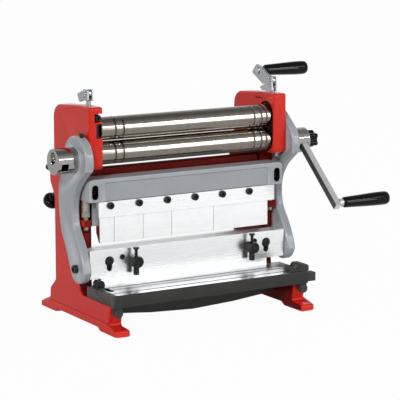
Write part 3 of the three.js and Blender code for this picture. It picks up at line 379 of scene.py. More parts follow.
def smooth_curve(points, steps=4):
    """The same run of points with a curve drawn through them."""
    made = []
    for i in range(len(points) - 1):
        p = [Vector(points[min(max(i + k, 0), len(points) - 1)]) for k in (-1, 0, 1, 2)]
        for k in range(steps):
            t = k / steps
            made.append(tuple(0.5 * (2 * p[1] + (p[2] - p[0]) * t
                                     + (2 * p[0] - 5 * p[1] + 4 * p[2] - p[3]) * t * t
                                     + (3 * p[1] - p[0] - 3 * p[2] + p[3]) * t ** 3)))
    made.append(tuple(points[-1]))
    return made


def carve(obj, tools, operation="DIFFERENCE"):
    """Cuts the tools out of an object, or joins them to it with UNION, and removes them."""
    for tool in tools:
        change = obj.modifiers.new("change", "BOOLEAN")
        change.operation = operation
        change.solver = "EXACT"
        change.object = tool
        settle(obj)
        bpy.data.objects.remove(tool)


def cut_socket(screw, radius, deep, place, direction, sides=6):
    """Cuts a socket into the head of a screw, from a place on the face of the head."""
    tool = turned("socket", [(radius, -deep), (radius, OVER)], place, direction, sides)
    carve(screw, [tool])


def copied(node):
    """The CAD solid of a node as a new piece in millimetres, its flat faces made whole."""
    shape = bmesh.new()
    shape.from_mesh(frame["nodes"][node].data)
    shape.transform(TO_FRAME.inverted())
    bmesh.ops.remove_doubles(shape, verts=shape.verts, dist=0.01)
    bmesh.ops.dissolve_limit(
        shape, angle_limit=math.radians(1), verts=shape.verts, edges=shape.edges,
    )
    return from_bmesh(node + "_finished", shape)


def split_at(obj, point, normal):
    """Cuts the faces of an object in two along a plane, so that each half can have its finish."""
    shape = bmesh.new()
    shape.from_mesh(obj.data)
    bmesh.ops.bisect_plane(
        shape, geom=shape.verts[:] + shape.edges[:] + shape.faces[:],
        plane_co=point, plane_no=normal,
    )
    shape.to_mesh(obj.data)
    shape.free()


def dress(obj, material, node=None, body=None, edge=0.0, steps=2, sharp=32):
    """Rounds the edges, sets the shading, finish and body, and brings it into the frame."""
    mesh = obj.data
    for polygon in mesh.polygons:
        polygon.use_smooth = True
    mesh.set_sharp_from_angle(angle=math.radians(sharp))
    if edge:
        bevel = obj.modifiers.new("edge", "BEVEL")
        bevel.width = edge
        bevel.segments = steps
        bevel.limit_method = "ANGLE"
        bevel.angle_limit = math.radians(sharp)
        bevel.use_clamp_overlap = False
        bevel.miter_outer = "MITER_ARC"
    weigh = obj.modifiers.new("weigh", "WEIGHTED_NORMAL")
    weigh.keep_sharp = True
    settle(obj)
    obj.data.transform(TO_FRAME)
    finishes = material if isinstance(material, list) else [material]
    obj.data.materials.clear()
    for finish in finishes:
        obj.data.materials.append(finish)
    if node:
        body = frame["nodes"][node]["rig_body"]
        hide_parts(node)
    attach(obj, body)
    return obj


def finished(node, material, edge, steps=2):
    """The CAD solid of a node, taken over as it is, with its edges rounded."""
    return dress(copied(node), material, node, edge=edge, steps=steps)


def faces(obj):
    """The faces of a dressed piece, each with its middle in millimetres and its normal."""
    for polygon in obj.data.polygons:
        yield polygon, TO_FRAME.inverted() @ polygon.center, polygon.normal


# Places, in millimetres of the machine

DIAGONAL = math.sqrt(0.5)
frame_low, frame_high = span("right_side_frame")
frame_inner, frame_outer = frame_low.x, frame_high.x
foot_front, foot_rear = frame_low.y, frame_high.y
base_front, base_top = -76.0, 43.5
column_front, column_rear = 24.0, 106.0
head_front, head_under, head_top = -16.0, 241.0, frame_high.z
shaft_y, shaft_z = middle("lower_roll").yz
upper_z = middle("upper_roll").z
rear_y, rear_z = middle("rear_roll").yz
hub_z = middle("left_eccentric_hub").z
ram_front, ram_top = span("ram_plate")[0].y, span("ram_plate")[1].z
arm_inner, arm_outer = span("right_arm")[0].x, span("right_arm")[1].x

# A face is turned to an axis from the first share of its normal, and square to it from the second
turned_share, square_share = 0.5, 0.9


def level_rod(name, radius, start, end, z, sides=48):
    """A round bar along X, above or below the lower roll, between two places on X."""
    return rod(name, radius, (start, shaft_y, z), (end, shaft_y, z), sides)


def on_axis(node, along=0.0):
    """A place on the axis of a piece that points forward, counted from its rear end."""
    x, y, z = middle(node)
    return x, span(node)[1].y - along, z


# Side frames

foot_length, foot_top = 50.0, 10.0
arch_start, arch_rise = 58.0, 5.0
base_low = 12.0
rib_start, rib_end, rib_proud = 7.5, 15.5, 6.0
rib_low, rib_high = 66.0, 139.0
ledge_start, ledge_end, ledge_proud = 8.0, 20.3, 14.0
ledge_low, ledge_high = 150.0, 160.0
jack_stem, bolt_shank, top_stem, rear_stem = 3.6, 4.0, 3.8, 4.0
rear_half, rear_travel, rear_hole_end = 12.0, 12.0, 98.0
roll_drop, roll_rise = 0.8, 2.5
recess_radius, recess_deep = 21.0, 8.0
window_half, window_deep = 11.0, 11.5
notch_deep, notch_long, notch_low, notch_high = 14.5, 15.0, 313.5, 327.0
slit_deep, slit_front, slit_rear, slit_low, slit_high = 4.0, 17.0, 39.0, 325.4, 328.0
band_inset, band_lift, band_top = 1.0, 0.4, 16.0
band_deep, band_proud = 4.0, 2.6


def foot_line(inwards=0.0, lift=0.0):
    """The underside of a side frame: two feet and the low arch between them."""
    return [
        (foot_front + inwards, lift), (foot_front + foot_length, lift),
        (foot_front + arch_start, lift + arch_rise), (foot_rear - arch_start, lift + arch_rise),
        (foot_rear - foot_length, lift), (foot_rear - inwards, lift),
    ]


def frame_outline():
    """A side frame seen from its side: along the feet, up the rear, over the head and down."""
    tight, soft = 4, 6
    heel = [(foot_rear, foot_top, tight), (column_rear + 20, 20, soft),
            (column_rear + 19, 35.75, soft), (column_rear, 52, soft)]
    boss = [(column_rear + out, rear_z + up, soft)
            for out, up in ((0, -69.3), (15, -47.3), (15, -9.3), (0, 0.7))]
    head = [(column_rear, head_top - 7, 22), (head_front + 40, head_top),
            (head_front, head_top, tight), (head_front, head_under, 8)]
    front = [(column_front, head_under, 5), (column_front, base_top, 18),
             (base_front, base_top, tight), (base_front + 6, base_low, tight),
             (foot_front, foot_top, tight)]
    return rounded(foot_line() + heel + boss + head + front)


def on_incline(along, across):
    """A place on the 45 degree slope of the rear roll, counted from the roll's centre."""
    return Vector((rear_y + (along + across) * DIAGONAL, rear_z + (across - along) * DIAGONAL))


def frame_box(name, side, start, end, front, rear, low, high):
    """A box in a side frame; start and end are counted outwards from its inner face."""
    return block(name, (side * (frame_inner + start), front, low),
                 (side * (frame_inner + end), rear, high))


def frame_cuts(name, side):
    """All that is cut out of a side frame: holes, slides, and the openings of its head."""
    jack = middle(f"{name}_jack_screw")
    bolt = middle(f"{name}_beam_bolt")
    bolt_end = span(f"{name}_beam_bolt")[1].y
    screw_x = middle(f"{name}_top_screw").x
    knob_x = middle(f"{name}_rear_knob").x
    bush_radius = shaft_y - span(f"{name}_roll_bush")[0].y
    inside, outside = side * (frame_inner - OVER), side * (frame_outer + OVER)
    half = rear_half + FIT
    pocket = [on_incline(a, b) for a, b in (
        (-half - rear_travel, -half), (half, -half), (half, half), (-half - rear_travel, half),
    )]
    low, high = span(f"{name}_upper_block")
    channel_end = max(-low.x, high.x) + FIT - frame_inner
    channel = (channel_end, low.y - FIT, high.y + FIT, low.z - roll_drop - FIT, high.z + roll_rise + FIT)
    cuts = [
        rod("jack", jack_stem + FIT, (jack.x, jack.y, ledge_low - OVER),
            (jack.x, jack.y, ledge_high + OVER)),
        rod("bolt", bolt_shank + FIT, (bolt.x, column_front - OVER, bolt.z),
            (bolt.x, bolt_end + FIT, bolt.z)),
        rod("screw", top_stem + FIT, (screw_x, shaft_y, high.z - roll_drop - OVER),
            (screw_x, shaft_y, head_top + OVER)),
        slab("pocket", "x", pocket, inside, side * (span("right_rear_block")[1].x + FIT)),
        rod("rear", rear_stem + FIT, (knob_x, *on_incline(0, 0)), (knob_x, *on_incline(rear_hole_end, 0))),
        level_rod("bore", bush_radius + FIT, inside, outside, shaft_z, 64),
    ]
    if side < 0:
        return cuts + [
            frame_box("channel", side, -OVER, *channel),
            frame_box("window", side, -OVER, window_deep, head_front - OVER, shaft_y - window_half,
                      upper_z - window_half, upper_z + window_half),
            frame_box("notch", side, -OVER, notch_deep, head_front - OVER, head_front + notch_long,
                      notch_low, notch_high),
        ]
    return cuts + [
        slab("recess", "x", stadium(shaft_y, shaft_z, upper_z + roll_rise, recess_radius), inside,
             frame_inner + recess_deep),
        frame_box("channel", side, recess_deep - OVER, *channel),
        frame_box("slit", side, -OVER, slit_deep, slit_front, slit_rear, slit_low, slit_high),
    ]


for name, side in SIDES.items():
    node = f"{name}_side_frame"
    body = slab(node + "_casting", "x", frame_outline(), side * frame_inner, side * frame_outer,
                edge=3.0, steps=5)
    carve(body, [
        frame_box("rib", side, rib_start, rib_end, column_front - rib_proud, column_front + OVER,
                  rib_low, rib_high),
        frame_box("ledge", side, ledge_start, ledge_end, column_front - ledge_proud,
                  column_front + OVER, ledge_low, ledge_high),
    ], "UNION")
    carve(body, frame_cuts(name, side))
    split_at(body, (0, 0, head_under), UP)
    dress(body, [RED, PAINTED_SHADE_RED], node)

    # The inner faces below the head and the column's front get the darker red: painted shade, as they lie
    # in shade
    for polygon, place, normal in faces(body):
        inner = normal.x * side < -turned_share and place.z < head_under
        column = head_front + 20 < place.y and base_top < place.z < head_under
        shaded = column and normal.y < turned_share and normal.x * side < turned_share
        if inner or shaded:
            polygon.material_index = 1

    # Raised foot band and its moulding on the outer face of the base
    band = slab(f"{name}_frame_foot_band", "x", rounded(foot_line(band_inset, band_lift) + [
        (foot_rear - band_inset, foot_top - band_inset, 3), (column_rear + 18, band_top, 4),
        (base_front + 9, band_top, 4), (foot_front + band_inset, foot_top - band_inset, 3),
    ]), side * (frame_outer - band_deep), side * (frame_outer + band_proud), edge=1.6)
    dress(band, RED, body="base")

# The rear tie bar has the same paint as the frames; its darker red is painted shade under the rolls
finished("rear_tie_bar", PAINTED_SHADE_RED, edge=1.2, steps=3)

# Screw in the notch of the left head
radius, length, chamfer = 4.9, 9.0, 0.7
stem_share, socket_share = 0.6, 0.48
centre = (-frame_inner - 8.5, head_front - 1.6, 320.6)
screw = turned("left_head_screw", [
    (radius * stem_share, -length - 6), (radius * stem_share, -length), (radius, -length),
    (radius, -chamfer), (radius - chamfer, 0), (0, 0),
], centre, FORWARD, 40)
cut_socket(screw, radius * socket_share, length / 2, centre, FORWARD)
dress(screw, OXIDE, body="base", edge=0.3)

# Threaded stops between the heads and the lugs of the beam; the left one is black: painted shade, as it
# lies in shade under its head
crest, thread_root, pitch, turns = 5.4, 4.6, 1.4, 3
thread_start, stop_length = 0.9, 6.4
stop_x, stop_y, stop_z = 166.5, -3.0, 235.0
for name, side in SIDES.items():
    profile = [(4.4, 0), (4.9, 0.4)]
    for k in range(turns):
        profile += [(crest, thread_start + pitch * k), (thread_root, thread_start + pitch * (k + 0.5))]
    profile += [(crest, thread_start + pitch * turns), (crest, stop_length)]
    stop = turned(f"{name}_beam_stop", profile, (side * stop_x, stop_y, stop_z), UP, 40)
    dress(stop, BRIGHT if side > 0 else OXIDE, body="base", sharp=20)


# Bed

bed_low, bed_high = span("bed_table")
ground_edge = -frame_outer + 9
slot_front, slot_rear, slot_end, slot_deep = -62.0, -26.0, 12.0, 14.0
bed = copied("bed_table")
split_at(bed, (ground_edge, 0, 0), RIGHT)
dress(bed, [CAST, BED_TOP, PAINTED_SHADOW], "bed_table", edge=0.6)
for polygon, place, normal in faces(bed):
    if normal.z > square_share and place.z > bed_high.z - 0.4 and place.x > ground_edge:
        polygon.material_index = 1
    # The walls of the slot at the left end get the near-black: painted shadow in the slot
    in_slot = bed_low.x + 4 < place.x < ground_edge + slot_end and slot_front < place.y < slot_rear
    if in_slot and abs(normal.z) < turned_share and bed_high.z - slot_deep < place.z:
        polygon.material_index = 2

for node in ("lower_blade", "upper_blade", "ram_body"):
    finished(node, GROUND, edge=0.35)

# Side guide: an upright plate on a foot, with a turned knob in front of it
low, high = span("side_guide")
slope, corner, upright = 3.0, 1.5, low.x + 11
guide = slab("side_guide_finished", "y", rounded([
    (upright, low.z), (high.x, low.z), (high.x, high.z - slope, corner),
    (high.x - slope, high.z, corner), (upright + slope, high.z, corner),
    (upright, high.z - slope, corner),
]), low.y, high.y, edge=0.8, steps=3)
radius, length, dish = 5.2, 7.6, 2.6
foot_back, foot_top_z = 2.0, 67.0
carve(guide, [
    block("foot", (low.x, low.y + foot_back, low.z), (upright + 1, high.y, foot_top_z)),
    turned("knob", [(3, -4), (3, 0)] + drum(radius, 0, length, 0.6) + [
        (dish, length), (dish - 0.4, length - 0.4), (0, length - 0.4),
    ], (low.x + 5.4, low.y + length, low.z + 5.4), FORWARD, 32),
], "UNION")
dress(guide, CAST, "side_guide")

low, high = span("left_side_stop")
stop = slab("left_side_stop_finished", "y", rounded([
    (low.x, low.z), (high.x, low.z), (high.x, high.z - 3, 1),
    (high.x - 3.5, high.z, 2), (low.x + 3, high.z, 2), (low.x, high.z - 4, 1),
]), low.y, high.y, edge=0.8, steps=3)
cut_socket(stop, 2.4, 4, ((low.x + high.x) / 2, low.y + 5, high.z), UP, 24)
dress(stop, OXIDE, "left_side_stop")


# Ram

keyhole_x, keyhole_low, keyhole_high = 142.0, ram_top - 30, ram_top - 19
screw_seat, painted_shadow_sheet_thick = 6.1, 0.5
plug_x, plug_z = 120.0, ram_top - 14.3
finished("ram_plate", GROUND, edge=0.5)
for name, side in SIDES.items():
    x = side * keyhole_x
    head = turned(f"{name}_keyhole_screw", [
        (3.2, -4), (3.2, 0), (6.6, 0), (6.6, 5.6), (6.4, 7.0), (5.2, 7.6), (2.6, 7.4), (2.6, 6.4),
    ], (x, ram_front + screw_seat, keyhole_high), FORWARD, 48)
    dress(head, OXIDE, body="ram", edge=0.25)
    # A thin near-black sheet behind the keyhole: painted shadow in its slot
    painted_shadow_sheet = slab(f"{name}_keyhole_painted_shadow_sheet", "y", stadium(x, keyhole_low, keyhole_high, 4.3),
                  ram_front + 5.4, ram_front + 5.4 + painted_shadow_sheet_thick)
    dress(painted_shadow_sheet, PAINTED_SHADOW, body="ram")
    plug = turned(f"{name}_ram_plug", [(4.2, 0), (4.2, 1.4), (3.2, 2.0), (1.6, 1.6), (0, 1.6)],
                  (side * plug_x, ram_front + 0.2, plug_z), FORWARD, 32)
    dress(plug, OXIDE, body="ram")

# Hold-downs: a bracket, a pin with a thick foot, and a thumb knob
sole_radius, sole_height, stem_radius, cap_radius = 4.5, 13.0, 2.4, 4.7
for name in SIDES:
    finished(f"{name}_hold_down_bracket", OXIDE, edge=1.2, steps=3)
    node = f"{name}_hold_down_pin"
    low, high = span(node)
    sole_top = low.z + sole_height
    pin = turned(node + "_finished", [
        (sole_radius - 0.9, low.z), (sole_radius, low.z + 0.9), (sole_radius, sole_top - 0.8),
        (sole_radius - 0.6, sole_top), (stem_radius, sole_top), (stem_radius, high.z - 4.4),
        (stem_radius + 0.6, high.z - 3.6), (cap_radius, high.z - 2.6), (cap_radius, high.z - 0.8),
        (cap_radius - 0.8, high.z),
    ], (*middle(node).xy, 0), UP, 40)
    dress(pin, OXIDE, node)
    node = f"{name}_hold_down_knob"
    low, high = span(node)
    radius, thick = (high.x - low.x) / 2, high.y - low.y
    knob = turned(node + "_finished", [
        (radius - 0.7, 0), (radius, 0.7), (radius, thick - 0.8), (radius - 0.8, thick),
        (radius - 2.2, thick), (radius - 2.8, thick - 0.4), (stem_radius, thick - 0.4),
        (stem_radius - 0.2, thick - 0.1), (0, thick - 0.1),
    ], on_axis(node), FORWARD, 48)
    dress(knob, OXIDE, node)


# Beam, bar and fingers

beam_low, beam_high = span("upper_beam")
lug_start, lug_wall = 158.0, 4.0
beam = finished("upper_beam", [GREY, PAINTED_SHADOW], edge=0.9, steps=3)
# The faces inside the lug slots get the near-black: painted shadow around the bolts
for polygon, place, normal in faces(beam):
    in_lug = lug_start < abs(place.x) < beam_high.x - 3 and place.y > beam_low.y + 1.2
    within = beam_low.z + lug_wall < place.z < beam_high.z - lug_wall
    if in_lug and within and abs(normal.y) < 0.6:
        polygon.material_index = 1
finished("clamp_bar", GROUND, edge=0.4)
FINGERS, CLAMP_SCREWS = 5, 6
for i in range(FINGERS):
    finger = finished(f"brake_finger_{i + 1}", [GROUND, PAINTED_SHADOW], edge=0.25)
    # The sides where fingers meet get the near-black, which shows as dark lines between them: painted
    # shade in the gaps
    for polygon, place, normal in faces(finger):
        meets_left = normal.x < -square_share and i > 0
        meets_right = normal.x > square_share and i < FINGERS - 1
        if meets_left or meets_right:
            polygon.material_index = 1

stem, radius, head_length = 3.0, 5.6, 3.4
for i in range(CLAMP_SCREWS):
    node = f"clamp_screw_{i + 1}"
    low, high = span(node)
    length = high.y - low.y
    screw = turned(node + "_finished", [
        (stem, 0), (stem, length - head_length), (radius, length - head_length),
        (radius, length - 0.9), (radius - 0.6, length - 0.2), (radius - 1.6, length), (0, length),
    ], on_axis(node), FORWARD, 40)
    cut_socket(screw, 2.7, 3, on_axis(node, length), FORWARD)
    dress(screw, OXIDE, node)

# Beam bolts, and jack screws with nuts
shank, head_length = 3.8, 8.0
nut_low, nut_high, nut_radius = 164.5, 172.4, 6.2
for name, side in SIDES.items():
    node = f"{name}_beam_bolt"
    low, high = span(node)
    length = high.y - low.y
    radius = (high.z - low.z) / 2 - 0.2
    bolt = turned(node + "_finished", [
        (shank, 0), (shank, length - head_length), (radius, length - head_length),
        (radius, length - 0.6), (radius - 0.6, length), (0, length),
    ], on_axis(node), FORWARD, 40)
    cut_socket(bolt, 3.0, 5, on_axis(node, length), FORWARD)
    dress(bolt, OXIDE, node)
    node = f"{name}_jack_screw"
    low, high = span(node)
    foot = (*middle(node).xy, 0)
    neck, waist = nut_radius - 0.6, nut_radius - 0.5
    jack = turned(node + "_finished", [
        (jack_stem - 0.8, low.z), (jack_stem, low.z + 0.8), (jack_stem, nut_low), (neck, nut_low),
        (nut_radius, nut_low + 0.7), (nut_radius, nut_high), (waist, nut_high + 0.6),
        (nut_radius + 0.1, nut_high + 1.2), (nut_radius + 0.1, high.z - 4.6), (waist, high.z - 4.0),
        (nut_radius, high.z - 3.4), (nut_radius, high.z - 0.5), (waist, high.z),
    ], foot, UP, 40)
    carve(jack, [turned("hexagon", drum(7, nut_low + 0.1, nut_high, 0.6), foot, UP, 6)], "UNION")
    dress(jack, NUT, node, edge=0.25, sharp=40)


# Rolls and gears

# Each roll's journal radius, and whether it has grooves
ROLL_PIECES = (("lower_roll", 9.5, True), ("upper_roll", 9.0, True), ("rear_roll", 9.0, False))
WIRE_GROOVES = (-128, -114, 121, 134, 143.5)
GROOVE = ((-1.7, 0), (-1.4, 0.5), (-0.7, 1.6), (0, 1.9), (0.7, 1.6), (1.4, 0.5), (1.7, 0))


def roll_profile(node, journal, grooved):
    """A roll with its journals, its broken edges and the grooves for wire near its ends."""
    low, high = span(node)
    end, edge = frame_inner - 1, 0.8
    radius = (high.z - low.z) / 2 + 0.12
    profile = [(journal - 1, low.x), (journal, low.x + 1), (journal, -end), (radius - edge, -end),
               (radius, -end + edge)]
    for place in WIRE_GROOVES if grooved else ():
        profile += [(radius - deep, place + along) for along, deep in GROOVE]
    return profile + [(radius, end - edge), (radius - edge, end), (journal, end),
                      (journal, high.x - 1), (journal - 1, high.x)]


for node, journal, grooved in ROLL_PIECES:
    roll = turned(node + "_finished", roll_profile(node, journal, grooved), (0, *middle(node).yz),
                  RIGHT, 96)
    dress(roll, POLISHED, node, sharp=28)

shaft_hole = 9.8
for node in ("lower_gear", "upper_gear"):
    finished(node, GEAR, edge=0.3)
for node in ("left_roll_bush", "right_roll_bush"):
    low, high = span(node)
    ring = level_rod(node + "_finished", (high.z - low.z) / 2, low.x, high.x, shaft_z, 64)
    carve(ring, [level_rod("bore", shaft_hole, low.x - 1, high.x + 1, shaft_z, 64)])
    dress(ring, BRONZE, node, edge=0.4)
for node in ("left_upper_block", "right_upper_block", "left_rear_block", "right_rear_block"):
    finished(node, OXIDE, edge=0.6)


# Knobs, levers and grips

GRIP_SHARES = [(0.0, 0.58), (0.012, 0.7), (0.03, 0.76), (0.06, 0.8), (0.3, 0.87), (0.55, 0.95),
               (0.75, 1.0), (0.9, 1.0), (0.955, 0.97), (0.982, 0.89), (0.996, 0.76), (1.0, 0.62)]


def grip(node):
    """A tapered grip that turns on its stud, thickest near its free end, with a dimple there."""
    low, high = span(node)
    y, z = middle(node).yz
    radius, length = (high.z - low.z) / 2, high.x - low.x
    dimple, dimple_deep = 3.4, 1.6
    stud_hole, stud_share = 3.6, 0.66
    profile = smooth_curve([(radius * wide, length * place) for place, wide in GRIP_SHARES])
    profile += [(dimple, length), (dimple, length - dimple_deep), (0, length - dimple_deep)]
    piece = turned(node + "_finished", profile, (low.x, y, z), RIGHT)
    carve(piece, [rod("bore", stud_hole, (low.x - OVER, y, z), (low.x + length * stud_share, y, z), 32)])
    dress(piece, BAKELITE, node, sharp=40)


grip("top_grip")
grip("crank_grip")


def rear_knob(node):
    """The knob that sets the rear roll, at the end of its long stem on the incline."""
    start = Vector((middle(node).x, *on_incline(rear_half + FIT, 0)))
    length, radius, width = 98.0, 13.7, 15.0
    knob = turned(node + "_finished", [
        (rear_stem, 0), (rear_stem, length - 3), (6.5, length - 3), (7.2, length),
        (radius - 2.5, length + 2), (radius - 0.6, length + 3.6), (radius, length + 6),
        (radius, length + 9.5),
        (radius - 0.8, length + 12), (radius - 2.6, length + 14), (radius - 5, length + width),
        (0, length + width),
    ], start, (0, DIAGONAL, -DIAGONAL))
    dress(knob, BAKELITE, node, sharp=40)


# Corners with their radii, for the right fork's tail and both levers
TAIL_CORNERS = [(shaft_y - 6, 338.6, 1), (31, 338.4, 1), (38.5, 342.4, 1), (19, 350.8, 3)]
LEFT_LEVER_CORNERS = [(32, -5.6, 3), (33, 8.6, 2.5), (9, 7.4, 4)]
RIGHT_LEVER_CORNERS = [(18, 350.8, 3), (34.3, 347.6, 1.5), (66.2, 363.6, 2.5), (53.4, 377.6, 2.5),
                       (38, 374.2, 4), (19, 363.8, 6)]
fork_z = head_top + 9
fork_pin_z = fork_z + 10
cheek_in, cheek_out, cheek_half = 2.5, 5.2, 6.4
lever_eye, lever_half, left_lever_turn = 6.2, 2.0, math.radians(-20)
rivet_y, rivet_z = 57.5, 367.2


def top_screw(node, x, side):
    """The screw with its fork: two cheeks on a round foot, with a tail on the right one."""
    low, high = span(node)
    screw = turned(node + "_finished", [
        (top_stem, low.z), (top_stem, fork_z - 1), (5.2, fork_z - 0.6), (5.8, fork_z),
        (5.8, fork_z + 0.7),
    ], (x, shaft_y, 0), UP, 48)
    cheek = [(shaft_y - cheek_half, fork_z - 1, 1.5), (shaft_y + cheek_half, fork_z - 1, 1.5),
             (shaft_y + cheek_half, high.z, 2.5), (shaft_y - cheek_half, high.z, 2.5)]
    if side > 0:
        cheek = TAIL_CORNERS + [(shaft_y + 6.6, high.z, 2), (shaft_y - 6.2, high.z, 2)]
    cheeks = [slab("cheek", "x", rounded(cheek), x + k * cheek_in, x + k * cheek_out, 0.5, 2)
              for k in (-1, 1)]
    screws = [turned("screw", [(1.6, 0), (2.6, 0), (2.6, 1), (2, 1.4), (0, 1.4)],
                     (x - 5.1, shaft_y + along, fork_pin_z + up), LEFT, 24)
              for along, up in ((4.0, 3.4), (3.4, -4.4))]
    carve(screw, cheeks, "UNION")
    carve(screw, [level_rod("pin", 2.7, x - 10, x + 10, fork_pin_z, 32)])
    carve(screw, screws, "UNION")
    dress(screw, BRIGHT, node, edge=0.25)


def top_lever(node, x, side):
    """The folding lever: a flat plate, its pin and, on the right, the stud of the grip."""
    if side < 0:
        turn = Matrix.Rotation(left_lever_turn, 2)
        root = circle(0, 0, lever_eye, 20, math.pi / 2, 1.5 * math.pi)
        points = rounded([tuple(p) for p in root] + LEFT_LEVER_CORNERS)
        points = [turn @ p + Vector((shaft_y, fork_pin_z)) for p in points]
    else:
        root = circle(shaft_y, fork_pin_z, lever_eye, 20, 0.56 * math.pi, 1.5 * math.pi)
        points = rounded([tuple(p) for p in root] + RIGHT_LEVER_CORNERS)
    lever = slab(node + "_finished", "x", points, x - lever_half, x + lever_half, 0.5, 3)
    joined = [turned("pin", drum(2.4, -6.6, 6.6, 0.4), (x, shaft_y, fork_pin_z), RIGHT, 32)]
    if side > 0:
        shoulder = span("top_grip")[0].x - x - FIT
        joined.append(turned("stud", [
            (5.4, -3.6), (5.8, -3.2), (5.8, -1.9), (5.8, 2.6), (4, 2.8), (4, shoulder),
            (3.2, shoulder), (3.2, shoulder + FIT + 40),
        ], (x, *middle("top_grip").yz), RIGHT, 32))
        joined.append(turned("rivet", [(1.6, 0), (2.8, 0), (2.8, 1.2), (2.0, 1.8), (0, 1.8)],
                             (x - 1.9, rivet_y, rivet_z), LEFT, 24))
    carve(lever, joined, "UNION")
    dress(lever, BRIGHT, node)


for name, side in SIDES.items():
    rear_knob(f"{name}_rear_knob")
    x = middle(f"{name}_top_screw").x
    top_screw(f"{name}_top_screw", x, side)
    top_lever(f"{name}_top_lever", x, side)


# Crank, hubs and arms

crank_slope = math.radians(40.9)
crank_half, crank_edge = 5.5, 0.9
crank_x = span("crank_bar")[0].x + crank_half
crank_start, crank_end, crank_stud = -10.0, 152.0, 144.0
stud_radius, stud_length, star_stud = 3.2, 51.0, 4.0
hub_radius = span("left_eccentric_hub")[1].z - hub_z


def on_crank(along, across):
    """A place on the crank, along it and across it from the shaft."""
    slope, rise = math.cos(crank_slope), math.sin(crank_slope)
    return Vector((shaft_y - slope * along + rise * across, shaft_z - rise * along - slope * across))


def square_bar(name, side, start, end, half, edge=0.0):
    """A square bar along the crank, in the plane in which the crank turns."""
    corners = [on_crank(a, b) for a, b in ((start, -half), (end, -half), (end, half), (start, half))]
    return slab(name, "x", corners, side * (crank_x - half), side * (crank_x + half), edge, 3)


bar = square_bar("crank_bar_finished", 1, crank_start, crank_end, crank_half, crank_edge)
carve(bar, [turned("collar", [
    (6.4, -0.3), (6.4, 6.6), (5.6, 7.6), (stud_radius, 7.6), (stud_radius, stud_length),
], (crank_x + crank_half, *on_crank(crank_stud, 0)), RIGHT, 48)], "UNION")
dress(bar, [PAINTED_SHADE_GUNMETAL, PAINTED_HIGHLIGHT_STEEL], "crank_bar")
# Faces turned up or to the front, and the stud beyond the bar, get the light steel and the others the
# dark: painted light and shade
for polygon, place, normal in faces(bar):
    upper = normal.z > 0.35 and abs(normal.x) < turned_share
    if upper or place.x > crank_x + crank_half + 0.1 or normal.y < -0.7:
        polygon.material_index = 1

for name, side in SIDES.items():
    node = f"{name}_eccentric_hub"
    low, high = span(node)
    length = high.x - low.x
    hub = turned(node + "_finished", [
        (hub_radius - 0.8, 0), (hub_radius, 0.8), (hub_radius, 15.4), (hub_radius - 0.5, 16.0),
        (hub_radius, 16.6), (hub_radius, length - 1.6), (hub_radius - 0.6, length - 0.5),
        (hub_radius - 1.6, length), (0, length),
    ], (side * arm_inner, shaft_y, hub_z), (side, 0, 0), 96)
    if side < 0:
        y, z = shaft_y - 2, shaft_z - 1
        carve(hub, [rod("end", 8.5, (low.x + 4.5, y, z), (low.x - 1, y, z))])
    carve(hub, [
        level_rod("bore", shaft_hole, side * (arm_inner - OVER), side * (arm_inner + 24.8), shaft_z),
        square_bar("square", side, -45, 45, crank_half + FIT),
        level_rod("clamp", star_stud + FIT, side * crank_x, side * (crank_x + 15), hub_z, 32),
    ])
    dress(hub, CHROME, node, edge=0.35)


# Knurled screw that clamps the left hub, seen below its rear edge
x, z, thumb_stem, thumb_front, thumb_rear = -221.5, 245.2, 18.0, 26.5, 33.5
knurls = wavy(x, z, 48, lambda k, turn: 5.2 if k % 2 else 4.7)
thumb = slab("left_hub_screw", "y", knurls, thumb_front, thumb_rear, 0.8, 3)
carve(thumb, [rod("stem", 2.6, (x, thumb_stem, z), (x, thumb_front + 0.5, z), 24)], "UNION")
dress(thumb, BAKELITE, body="crank")

star_outer, star_thick, star_radius = span("star_knob")[1].x, 16.0, 14.5
star_inner = star_outer - star_thick
lobe_share, lobe_count = 0.14, 5
lobes = wavy(shaft_y, hub_z, 120, lambda k, turn:
             star_radius * (1 - lobe_share + lobe_share * math.cos(lobe_count * turn)))
star = slab("star_knob_finished", "x", lobes, star_inner, star_outer, 3.0, 5)
carve(star, [
    level_rod("stud", star_stud, crank_x + crank_half + FIT, star_inner + star_thick / 2, hub_z, 32),
    turned("collar", [(7, -3.2), (7.4, -2.6), (7.4, 1)], (star_inner, shaft_y, hub_z), RIGHT, 48),
], "UNION")
dress(star, BAKELITE, "star_knob")

# Arms: a ring on the hub and a foot on the pin, with shares of the height between them
FRONT_SHARES = [(-0.166, 0.9), (-0.03, 0.795), (0.06, 0.68), (0.092, 0.57), (0.09, 0.46),
                (0.06, 0.36), (-0.02, 0.25), (-0.09, 0.13)]
REAR_SHARES = [(0.236, 0.17), (0.31, 0.29), (0.352, 0.45), (0.365, 0.6), (0.355, 0.74), (0.3, 0.88)]
PEAK_SHARES = [(0.37, 1.32), (0.21, 1.39), (0.07, 1.34)]
ring_y, ring_radius, foot_radius = shaft_y - 4, 38.0, 23.5
pin_y, pin_z = middle("right_arm_pin").yz


def ring_arc(sides, first, last):
    return circle(ring_y, hub_z, ring_radius, sides, math.radians(first), math.radians(last))


def arm_outline(peaked):
    """The outline of an arm, curved all round; the right one has a peak on its ring."""
    height = hub_z - pin_z
    ring = ring_arc(14, 15, 200)
    if peaked:
        peak = [Vector((ring_y + y * ring_radius, hub_z + z * ring_radius)) for y, z in PEAK_SHARES]
        ring = ring_arc(3, 15, 54) + peak + ring_arc(6, 131, 200)
    foot = circle(pin_y, pin_z, foot_radius, 10, math.pi, math.radians(345))
    front, rear = ([Vector((pin_y + y * height, pin_z + z * height)) for y, z in shares]
                   for shares in (FRONT_SHARES, REAR_SHARES))
    loop = ring + front + foot + rear
    return smooth_curve(loop[-2:] + loop + loop[:3])[8:-12]


